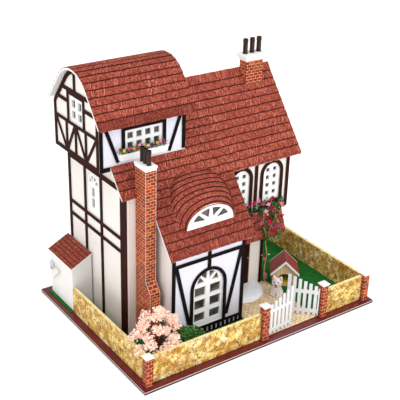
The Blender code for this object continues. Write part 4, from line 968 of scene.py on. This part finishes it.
leaf_green = foliage("paper_leaf", [(0.006, 0.03, 0.008), (0.012, 0.075, 0.016), (0.03, 0.15, 0.03),
                                    (0.06, 0.22, 0.05)])
pinks = foliage("pink_petal", [(0.70, 0.09, 0.24), (0.88, 0.24, 0.42), (0.95, 0.46, 0.60)])
crimson = foliage("crimson_petal", [(0.30, 0.004, 0.03), (0.55, 0.012, 0.07), (0.68, 0.03, 0.12)])
yellow = foliage("yellow_petal", [(0.80, 0.42, 0.04), (0.88, 0.62, 0.10), (0.92, 0.75, 0.30)])
leaf_shape = np.array([(0, 0, 0), (0.32, 0.35, 0.12), (0, 0.45, 0.02), (-0.32, 0.35, 0.12),
                       (0.26, 0.75, 0.10), (0, 1.1, -0.05), (-0.26, 0.75, 0.10)])
leaf_faces = np.array([[0, 1, 2, 2], [0, 2, 3, 3], [1, 4, 5, 2], [2, 5, 6, 3]])


def bloom(petals, cup):
    """A flower: each petal is a kite from the centre, its tip lifted by cup."""
    turn = np.arange(petals) * 2 * np.pi / petals
    wide = np.pi / petals * 0.92
    left = np.stack([0.62 * np.cos(turn - wide), 0.62 * np.sin(turn - wide), np.full(petals, cup * 0.7)], 1)
    tip = np.stack([np.cos(turn), np.sin(turn), np.full(petals, cup)], 1)
    right = np.stack([0.62 * np.cos(turn + wide), 0.62 * np.sin(turn + wide), np.full(petals, cup * 0.7)], 1)
    points = np.concatenate([[[0, 0, 0]], left, tip, right])
    k = np.arange(petals)
    return points, np.stack([np.zeros(petals, int), 1 + k, 1 + petals + k, 1 + 2 * petals + k], 1)


def planted(name, shape, rows, places, tilt, low, high, made, slot, toward=(0, 0, 1)):
    count = len(places)
    points, faces = scatter(shape, rows, places, directions(count, tilt, toward),
                            low + (high - low) * rng.random(count))
    put(name, [(points, faces)], made, closed=False, smooth=False,
        tone=rng.random(count).repeat(len(shape)))


low, high = span("planter_box")
middle = (low + high) / 2
half = (high - low) / 2
wall = [(-0.9, low[2]), (-0.75, low[2] + 0.15), (-0.1, high[2] - 2.2), (0.25, high[2] - 2.0),
        (0.25, high[2] - 0.6), (0.0, high[2] - 0.4),
        (-0.9, high[2] - 0.5), (-1.1, high[2] - 1.8)]
box_piece = put("flower_trough", [slab(half[0], half[1], wall, middle[0], middle[1])], white,
                smooth=False)
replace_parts(box_piece, "planter_box")
white_petals = foliage("white_petal", [(0.80, 0.80, 0.74), (0.90, 0.90, 0.88)])


def double_flower():
    """Three whorls of petals, each smaller and more upright than the one round it."""
    whorls = [(bloom(6, 0.25), 1.0), (bloom(5, 0.7), 0.75), (bloom(4, 1.5), 0.42)]
    starts = np.cumsum([0] + [len(points) for (points, _), _ in whorls[:-1]])
    points = np.concatenate([points * size for (points, _), size in whorls])
    return points, np.concatenate([rows + start for start, ((_, rows), _) in zip(starts, whorls)])


flower, flower_faces = double_flower()
OUTWARD = (-0.4, -0.75, 0.5)


def posy(name, places, size, made):
    """One double flower at each place, facing out and up, with a small bud or two tucked beside it."""
    places = np.array(places, float)
    planted(name, flower, flower_faces, places, 0.5, size, size * 1.15, made, "flower_foam", OUTWARD)
    spread = rng.normal(size=(2 * len(places), 3)) * (size * 0.9, size * 0.3, size * 0.8)
    beside = np.repeat(places, 2, 0) + spread
    planted(name + "_buds", flower, flower_faces, beside, 0.9, size * 0.35, size * 0.55, made, "flower_foam",
            OUTWARD)


row = np.column_stack([low[0] + 1 + rng.random(260) * (high[0] - low[0] - 2),
                       low[1] + 0.4 + rng.random(260) * 5.4,
                       186.6 + rng.random(260) * 3.0])
planted("trough_leaves", leaf_shape, leaf_faces, row, 1.2, 1.4, 2.6, leaf_green, "leaf_foam")
posy("trough_yellow", [(37, 93.6, 189.2), (47, 93.4, 188.9), (71.5, 93.6, 189.4), (58.5, 94.6, 190.2)], 1.7,
     yellow)
posy("trough_pink", [(42, 93.8, 189.6), (75.3, 93.6, 188.9), (54, 95.2, 190.4)], 1.7, pinks)
posy("trough_crimson", [(50.2, 93.4, 188.6), (66, 93.6, 189.2), (79.2, 93.8, 189.4), (34, 94.8, 190.0)], 1.7,
     crimson)
posy("trough_white", [(62, 93.4, 189.0)], 1.5, white_petals)

# ---------------------------------------------------------------- cherry tree
# A tree of twisted wire bound in brown tape carries loose clumps of pale pink paper blossom. The clumps
# stand apart, and some hang over the garden wall.

bark = speckled("bark_tape", 0.85, (0.05, 0.018, 0.01), (0.20, 0.09, 0.05), (900, 900, 250), 4.0, relief=0.8)
blossom = foliage("pale_blossom", [(0.80, 0.42, 0.31), (0.93, 0.66, 0.52), (0.96, 0.79, 0.68),
                                   (0.97, 0.89, 0.82)], 0.85)
# A faint pink emission: painted light that brightens the blossom clumps where they would fall into shade.
glow = blossom.node_tree.nodes["Principled BSDF"].inputs
glow["Emission Color"].default_value = (1.0, 0.72, 0.62, 1)
glow["Emission Strength"].default_value = 0.12
tips = np.array([(14, 36, 41), (20, 23, 44), (28, 40, 56), (38, 33, 58), (49, 36, 50), (52, 28, 44),
                 (43, 18, 38), (34, 15, 33), (24, 14, 30),
                 (12, 24, 34), (32, 28, 60), (22, 34, 52), (43, 42, 54), (48, 26, 53), (30, 22, 50),
                 (38, 24, 46), (16, 30, 49), (49, 17, 28), (30, 44, 46), (41, 15, 33), (17, 15, 42),
                 (47, 21, 36)], float) - (3.0, 1.0, 5.5)
branches = []
s = np.linspace(0, 1, 9)[:, None]
for tip in tips:
    fork = np.array([30.0, 30.0, 13.0 + 8 * rng.random()])
    sway = (rng.random((1, 3)) - 0.5) * (7, 7, 2)
    branches.append(tube(fork + (tip - fork) * s + sway * np.sin(np.pi * s), np.linspace(0.9, 0.35, 9), 6))
trunk_sway = np.array([[1.2, -0.8, 0]]) * np.sin(np.pi * s * 1.5)
trunk_line = np.array([30.0, 30.0, 1.0]) + np.array([0, 0, 21.0]) * s + trunk_sway
branches.append(tube(trunk_line, np.linspace(2.4, 1.4, 9), 9))
trunk_piece = put("cherry_branches", branches, bark)
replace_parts(trunk_piece, "cherry_tree")
SPRAYS = 2300
around = tips[rng.integers(0, len(tips), SPRAYS)]
blob = rng.normal(size=(SPRAYS, 3))
blob *= (rng.random(SPRAYS) ** 0.45 / np.linalg.norm(blob, axis=1))[:, None] * (6.3, 5.6, 4.6)
planted("cherry_blossom", *bloom(5, 0.6), around + blob, 3.1, 0.8, 1.65, blossom, "blossom_foam")

# ---------------------------------------------------------------- bush
# A low round bush stands beside the tree, against the front of the wing. Its small green foam leaves are
# stuck all over three rounded lumps.

BUSH_LEAVES = 2600
spots = rng.normal(size=(BUSH_LEAVES, 3))
spots /= np.linalg.norm(spots, axis=1)[:, None]
spots *= (0.75 + 0.28 * rng.random(BUSH_LEAVES) ** 0.6)[:, None]
lumps = np.array([(71, 33, 12.5, 13.5, 8.3, 11.6), (63, 32.5, 17.5, 9.5, 8, 10.4),
                  (80, 31.5, 9.5, 8.5, 7, 8.2)])[rng.integers(0, 3, BUSH_LEAVES)]
bush_places = lumps[:, :3] + spots * lumps[:, 3:]
bush_places = bush_places[bush_places[:, 2] > 1.2]
bush_green = foliage("bush_leaf", [(0.015, 0.06, 0.01), (0.04, 0.16, 0.025), (0.11, 0.29, 0.05),
                                   (0.21, 0.43, 0.09)])
planted("bush_leaves", leaf_shape, leaf_faces, bush_places, 2.6, 1.2, 2.2, bush_green, "leaf_foam")


def lump(cx, cy, cz, rx, ry, rz, wobble=0.06, fine=24):
    """A ball of fine meridians: radii times the unit sphere, roughened by a product of sines."""
    turn, tilt = np.meshgrid(np.linspace(0, 2 * np.pi, fine + 1), np.linspace(-1.45, 1.5, fine // 2 + 1))
    r = 1 + wobble * np.sin(5 * turn + cx) * np.cos(4 * tilt + cy)
    flat = r * np.cos(tilt)
    ball = np.stack([cx + rx * flat * np.cos(turn), cy + ry * flat * np.sin(turn),
                     cz + rz * r * np.sin(tilt)], 2)
    pole = rz * r.mean()
    return stacked(ball[:, :-1], (cx, cy, cz - pole), (cx, cy, cz + pole))


core = put("bush_core", [lump(72, 33, 11.5, 10.5, 6.6, 9), lump(64, 32.5, 16, 7, 6.2, 8),
                         lump(81, 31.5, 8.2, 6.2, 5.4, 6)], leaf_green)
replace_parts(core, "bush")

# ---------------------------------------------------------------- climbing vine
# A tan wire stem climbs the porch post and spreads over the little roof. Green leaves are bound along it,
# with pink, crimson and white paper flowers, and a few strands hang in front of the eave.

stem = speckled("tan_stem", 0.75, (0.42, 0.22, 0.10), (0.66, 0.42, 0.22), (500, 500, 1600), relief=0.6)
strands = [
    [(205.6, 88.6, 1.2), (204.0, 88.2, 18), (205.4, 87.6, 36), (202.4, 87.0, 52), (203.2, 80.0, 62),
     (205.0, 71.8, 67), (205.4, 72.0, 76),
     (203.5, 75.0, 86), (199.0, 78.5, 96)],
    [(203.5, 75.0, 86), (206.5, 79.5, 95), (211.0, 82.0, 99), (215.5, 82.5, 100)],
    [(199.0, 78.5, 96), (190.0, 79.0, 97), (180.0, 78.5, 95), (170.0, 79.0, 98), (162.0, 79.5, 101),
     (157.5, 80.0, 103)],
    [(199.0, 76.0, 97), (195.0, 73.4, 106), (190.0, 73.4, 109), (182.0, 74.5, 106), (174.0, 75.0, 104)],
    [(190.0, 79.0, 97), (187.5, 75.0, 90), (186.0, 73.0, 82), (188.0, 71.5, 74), (189.0, 71.3, 67)],
    [(203.5, 75.0, 86), (198.5, 73.0, 82), (194.0, 72.2, 76), (192.0, 71.6, 68)],
    [(170.0, 79.0, 98), (166.5, 76.0, 92), (163.0, 75.0, 88), (158.5, 74.5, 88)],
]
lines = []
for knots in strands:
    knots = np.array(knots, float)
    t = np.linspace(0, len(knots) - 1, 8 * len(knots))
    k = np.clip(t.astype(int), 0, len(knots) - 2)
    f = (t - k)[:, None]
    before, ahead = knots[np.maximum(k - 1, 0)], knots[np.minimum(k + 2, len(knots) - 1)]
    a, b = knots[k], knots[k + 1]
    bend, twist = 2 * before - 5 * a + 4 * b - ahead, 3 * a - before - 3 * b + ahead
    lines.append(0.5 * (2 * a + (b - before) * f + bend * f**2 + twist * f**3))
vine_piece = put("vine_stems", [tube(p, np.linspace(0.75 if k == 0 else 0.45, 0.3, len(p)), 6) for k,
                                p in enumerate(lines)], stem)
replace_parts(vine_piece, "vine")
on_line = np.concatenate(lines)
thick = np.concatenate([np.full(len(p), w) for p, w in zip(lines, (0.7, 1.1, 1.2, 1.1, 0.8, 0.8, 1.0))])
VINE_LEAVES = 900
pick = rng.choice(len(on_line), VINE_LEAVES, p=thick / thick.sum())
spread = rng.normal(size=(VINE_LEAVES, 3)) * (2.2, 1.1, 2.3)
planted("vine_leaves", leaf_shape, leaf_faces, on_line[pick] + spread, 2.4, 1.6, 3.0, leaf_green, "leaf_foam")
posy("vine_crimson", [(195, 72, 111), (171, 72, 111), (195, 71.5, 100), (173, 72, 96), (192, 71, 85),
                      (195, 70, 74), (207, 71, 88)], 2.5, crimson)
posy("vine_pink", [(177, 72, 112), (190, 72, 105), (187, 71.5, 98), (181, 71, 86), (207, 72, 101),
                   (201.5, 86, 32), (204, 86, 12), (164, 72, 97)],
     2.3, pinks)
posy("vine_magenta", [(165, 72, 109), (200, 70, 79), (183, 72, 107)], 2.0,
     foliage("magenta_petal", [(0.45, 0.02, 0.16), (0.72, 0.06, 0.30)]))
posy("vine_white", [(206.5, 85.5, 36)], 1.0, white_petals)

# ---------------------------------------------------------------- dog house
# A kennel of pale upright planks, with an arched doorway and a yellow mat inside. Its red roof has a white
# barge board on each gable.

TURN = math.radians(-35.8)
KENNEL = (223.6, 78.6)


def placed(parts, turn, x, y, size=(1.0, 1.0, 1.0)):
    """Parts sized, turned about the upright and moved to x, y on the site."""
    moved = []
    for points, faces in parts:
        along, across, height = (np.asarray(points, float) * size).T
        xs = x + along * math.cos(turn) - across * math.sin(turn)
        ys = y + along * math.sin(turn) + across * math.cos(turn)
        moved.append((np.column_stack([xs, ys, height]), faces))
    return moved


def kennel(*parts):
    """Parts in the kennel's own width, depth and height, moved to the site."""
    return placed(parts, TURN, *KENNEL)


planks, tree, shader, where = finish("pale_planks", 0.6)
turned = add(tree, "Mapping", {"Vector": where, "Rotation": (0, 0, -TURN)}).outputs[0]
px, py, _ = add(tree, "SeparateXYZ", {0: turned}).outputs
both = plus(tree, px, py)
board = calc(tree, "DIVIDE", both, 0.0026)
number = calc(tree, "FLOOR", board)
tint = add(tree, "TexWhiteNoise", {"W": number}, noise_dimensions="1D").outputs["Value"]
lines_wood = noise(tree, stretched(tree, turned, (900, 900, 120)), 1.0, 4.0)
pine = mixed(tree, tint, (0.70, 0.50, 0.27), (0.82, 0.64, 0.40))
pine = washed(tree, pine, lines_wood, 0.45, 0.8, 0.5, (0.56, 0.36, 0.17))
crack = steps(tree, calc(tree, "PINGPONG", calc(tree, "FRACT", board), 0.5), 0.0, 0.10, 1.0, 0.0)
feed(shader, "Base Color", mixed(tree, crack, pine, (0.22, 0.12, 0.05)))
raised(tree, shader, calc(tree, "SUBTRACT", 1.0, crack), 0.6)
dress(["dog_house"], planks)
tin, tree, shader, where = finish("kennel_red", 0.55)
turned = add(tree, "Mapping", {"Vector": where, "Rotation": (0, 0, -TURN)}).outputs[0]
ribs_red = noise(tree, stretched(tree, turned, (60, 1500, 60)), 1.0, 2.0)
feed(shader, "Base Color", mixed(tree, steps(tree, ribs_red, 0.38, 0.66), (0.17, 0.018, 0.016),
                                 (0.36, 0.060, 0.048)))
raised(tree, shader, ribs_red, 0.7)
dress(["dog_house_roof"], tin)
drop = 12 / 12.2
parts = []
for y0, y1 in ((-13.5, -12.7), (12.5, 13.2)):
    gable = [[(x, y, 32.6 - abs(x) * drop) for x in (-15.1, 0, 15.1)] for y in (y0, y1)]
    parts.append(closed_sheet(np.array(gable), np.array(gable) - (0, 0, 2.7)))
put("kennel_barge_boards", kennel(*parts), white, smooth=False)
arch_turn = np.linspace(0, np.pi, 17)
curve = np.column_stack([7.3 * np.cos(arch_turn), np.full(17, -10.7), 9.4 + 7.3 * np.sin(arch_turn)])
arch_path = np.concatenate([[(7.3, -10.7, 2.6)], curve, [(-7.3, -10.7, 2.6)]])
put("kennel_arch", kennel(tube(arch_path, 0.3, 6)), planks)
mat = speckled("yellow_mat", 0.8, (0.62, 0.44, 0.02), (0.80, 0.64, 0.08), 1400.0, relief=0.6)
put("kennel_mat", kennel(block(-10.6, 10.6, -8.9, 8.9, 2.75, 4.2, 0.4)), mat)

# ---------------------------------------------------------------- toy dog
# A small glazed figure of a white terrier sits on the path and looks up at the gate. Its ears are pink
# inside, and its eyes, nose and open mouth are painted.

fur = speckled("white_dog", 0.42, (0.86, 0.83, 0.80), (0.74, 0.69, 0.64), (900, 900, 500), 3.0, (0.35, 0.7),
               0.7,
               0.0005, coat=0.15)
LOOK = math.radians(-141.0)


def dog(parts):
    """Parts in the dog's own frame, nose along +x, moved to the site and made a little wider."""
    return placed(parts, LOOK, 201.0, 62.4, (1.12, 1.12, 1.0))


def ears(foot, rise, wide, power, taper, sides):
    """Two rods, one on each side, thinning to the tip: wide * (1 - taper * share ** power)."""
    share = np.linspace(0, 1, 9)[:, None]
    radius = wide * (1 - share[:, 0] ** power * taper)
    mirrored = [np.array((1, side, 1)) for side in (1, -1)]
    return [tube(foot * mirror + share * (rise * mirror), radius, sides) for mirror in mirrored]


forms = [(-0.8, 0, 6.2, 5.0, 4.9, 5.2), (0.9, 0, 9.0, 3.9, 4.0, 5.2), (-0.6, 3.7, 3.7, 3.8, 2.4, 2.9),
         (-0.6, -3.7, 3.7, 3.8, 2.4, 2.9),
         (3.1, 4.3, 2.2, 2.2, 1.4, 1.2), (3.1, -4.3, 2.2, 2.2, 1.4, 1.2), (3.3, 1.6, 5.2, 1.4, 1.3, 4.2),
         (3.3, -1.6, 5.2, 1.4, 1.3, 4.2),
         (4.3, 1.6, 1.9, 1.8, 1.3, 1.0), (4.3, -1.6, 1.9, 1.8, 1.3, 1.0), (1.2, 0, 16.8, 4.7, 5.0, 4.5),
         (2.6, 2.6, 15.4, 2.4, 2.2, 2.2),
         (2.6, -2.6, 15.4, 2.4, 2.2, 2.2), (5.2, 0, 15.8, 2.3, 2.1, 1.7), (-5.4, 1.2, 5.6, 1.7, 1.2, 2.6)]
parts = [lump(*form, 0.0, 32) for form in forms] + ears((0.4, 2.9, 19.4), (0.2, 0.8, 4.2), 2.2, 1.6, 0.88, 14)
figure = put("dog_figure", dog(parts), fur)
remesh = figure.modifiers.new("skin", "REMESH")
remesh.mode = "VOXEL"
remesh.voxel_size = 0.00034
remesh.use_smooth_shade = True
relax = figure.modifiers.new("relax", "SMOOTH")
relax.iterations = 6
relax.factor = 0.6
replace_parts(figure, "dog")


def glossy(name, colour, dark):
    """Bright enamel with faint specks of a second tone."""
    return speckled(name, 0.3, colour, dark, 1500.0, 2.0, coat=0.5)


black_dot = glossy("dog_black", (0.012, 0.010, 0.010), (0.03, 0.025, 0.022))
dog_red = glossy("dog_red", (0.55, 0.05, 0.05), (0.40, 0.03, 0.03))
dog_pink = glossy("dog_pink", (0.88, 0.42, 0.44), (0.80, 0.32, 0.36))
nose_and_eyes = [(7.2, 0, 16.6, 0.9, 1.1, 0.8), (5.15, 1.9, 18.4, 0.65, 0.72, 0.8),
                 (5.15, -1.9, 18.4, 0.65, 0.72, 0.8)]
mouth = [(6.6, 0, 14.2, 1.2, 1.25, 1.05)]
for name, spots, made in (("dog_face", nose_and_eyes, black_dot), ("dog_mouth", mouth, dog_red)):
    put(name, dog([lump(*spot, 0, 16) for spot in spots]), made)
inner_ears = ears((1.45, 3.0, 19.6), (0.05, 0.75, 3.2), 1.5, 1.5, 0.9, 10)
put("dog_inner_ears", dog(inner_ears), dog_pink)

# ---------------------------------------------------------------- shed fitting
# A small grey-blue box is fixed on the outer face of the shed, with a tan curved rod that springs from a
# block beside it.

rod = np.array([(8.2, 191.0, 31.0), (6.2, 188.0, 33.4), (5.9, 182.0, 36.6), (5.9, 176.0, 38.5),
                (5.8, 172.5, 36.8), (5.9, 173.5, 33.0),
                (5.9, 177.5, 29.5), (5.9, 181.5, 26.0), (6.0, 185.0, 21.5)])
reach = np.arange(len(rod))
fine_reach = np.linspace(0, len(rod) - 1, 50)
curved = np.stack([np.interp(fine_reach, reach, rod[:, k]) for k in range(3)], 1)
curved[1:-1] = (curved[:-2] + 2 * curved[1:-1] + curved[2:]) / 4
tan_paint = painted("bracket_paint", (0.62, 0.52, 0.40), (0.46, 0.36, 0.26), 1.0)
put("shed_bracket", [tube(curved, 0.55), block(5.4, 8.1, 189.6, 192.4, 29.6, 32.4, 0.3)], tan_paint)
grey_blue = painted("box_grey", (0.60, 0.64, 0.70), (0.48, 0.52, 0.60), 0.8)
put("shed_meter_box", [block(6.2, 8.1, 187.0, 194.0, 31.5, 38.0, 0.4)], grey_blue)

# ---------------------------------------------------------------- floor, light and camera
# A pale seamless floor, a soft light from the upper left, a fill from the front, a weak one from above, and
# the camera a little above the roofs, off the left front corner.

pale, tree, shader, where = finish("pale_floor", 0.9)
feed(shader, "Base Color", mixed(tree, noise(tree, where, 9.0, 3.0), (0.94, 0.94, 0.94), (0.92, 0.92, 0.92)))
shader.inputs["Emission Color"].default_value = (1, 1, 1, 1)
shader.inputs["Emission Strength"].default_value = 0.3
floor_mesh = bpy.data.meshes.new("floor")
floor_mesh.from_pydata([(-6, -6, -0.0002), (6, -6, -0.0002), (6, 6, -0.0002), (-6, 6, -0.0002)], [],
                       [(0, 1, 2, 3)])
floor_mesh.materials.append(pale)
floor = bpy.data.objects.new("floor", floor_mesh)
bpy.context.scene.collection.objects.link(floor)

world = bpy.data.worlds.new("studio")
world.use_nodes = True
world.node_tree.nodes["Background"].inputs[0].default_value = (1.0, 1.0, 1.0, 1)
world.node_tree.nodes["Background"].inputs[1].default_value = 0.66
bpy.context.scene.world = world


def soft_light(name, place, target, width, power):
    lamp = bpy.data.lights.new(name, "AREA")
    lamp.shape = "SQUARE"
    lamp.size = width
    lamp.energy = power
    made = bpy.data.objects.new(name, lamp)
    made.location = place
    made.rotation_euler = (Vector(target) - Vector(place)).to_track_quat("-Z", "Y").to_euler()
    bpy.context.scene.collection.objects.link(made)


soft_light("key", (-1.0, -0.4, 1.25), (0, 0, 0.08), 1.0, 11.0)
soft_light("fill", (0.5, -1.3, 0.9), (0, 0, 0.08), 1.2, 13.0)
soft_light("top", (0.3, 0.3, 1.5), (0, 0, 0.1), 1.2, 2.5)

heading, tip, roll = math.radians(35.817), math.radians(26.187), math.radians(1.672)
ahead = Vector((math.sin(heading) * math.cos(tip), math.cos(heading) * math.cos(tip), -math.sin(tip)))
right = Vector((math.cos(heading), -math.sin(heading), 0))
over = right.cross(ahead)
right, over = math.cos(roll) * right + math.sin(roll) * over, -math.sin(roll) * right + math.cos(roll) * over
lens = bpy.data.cameras.new("camera")
lens.sensor_width = 36.0
lens.lens = 80.68
camera = bpy.data.objects.new("camera", lens)
camera.matrix_world = Matrix.LocRotScale(Vector((-0.474971, -0.640932, 0.505053)),
                                         Matrix((right, over, -ahead)).transposed(), None)
bpy.context.scene.collection.objects.link(camera)
bpy.context.scene.camera = camera
bpy.context.scene.view_settings.view_transform = "Standard"
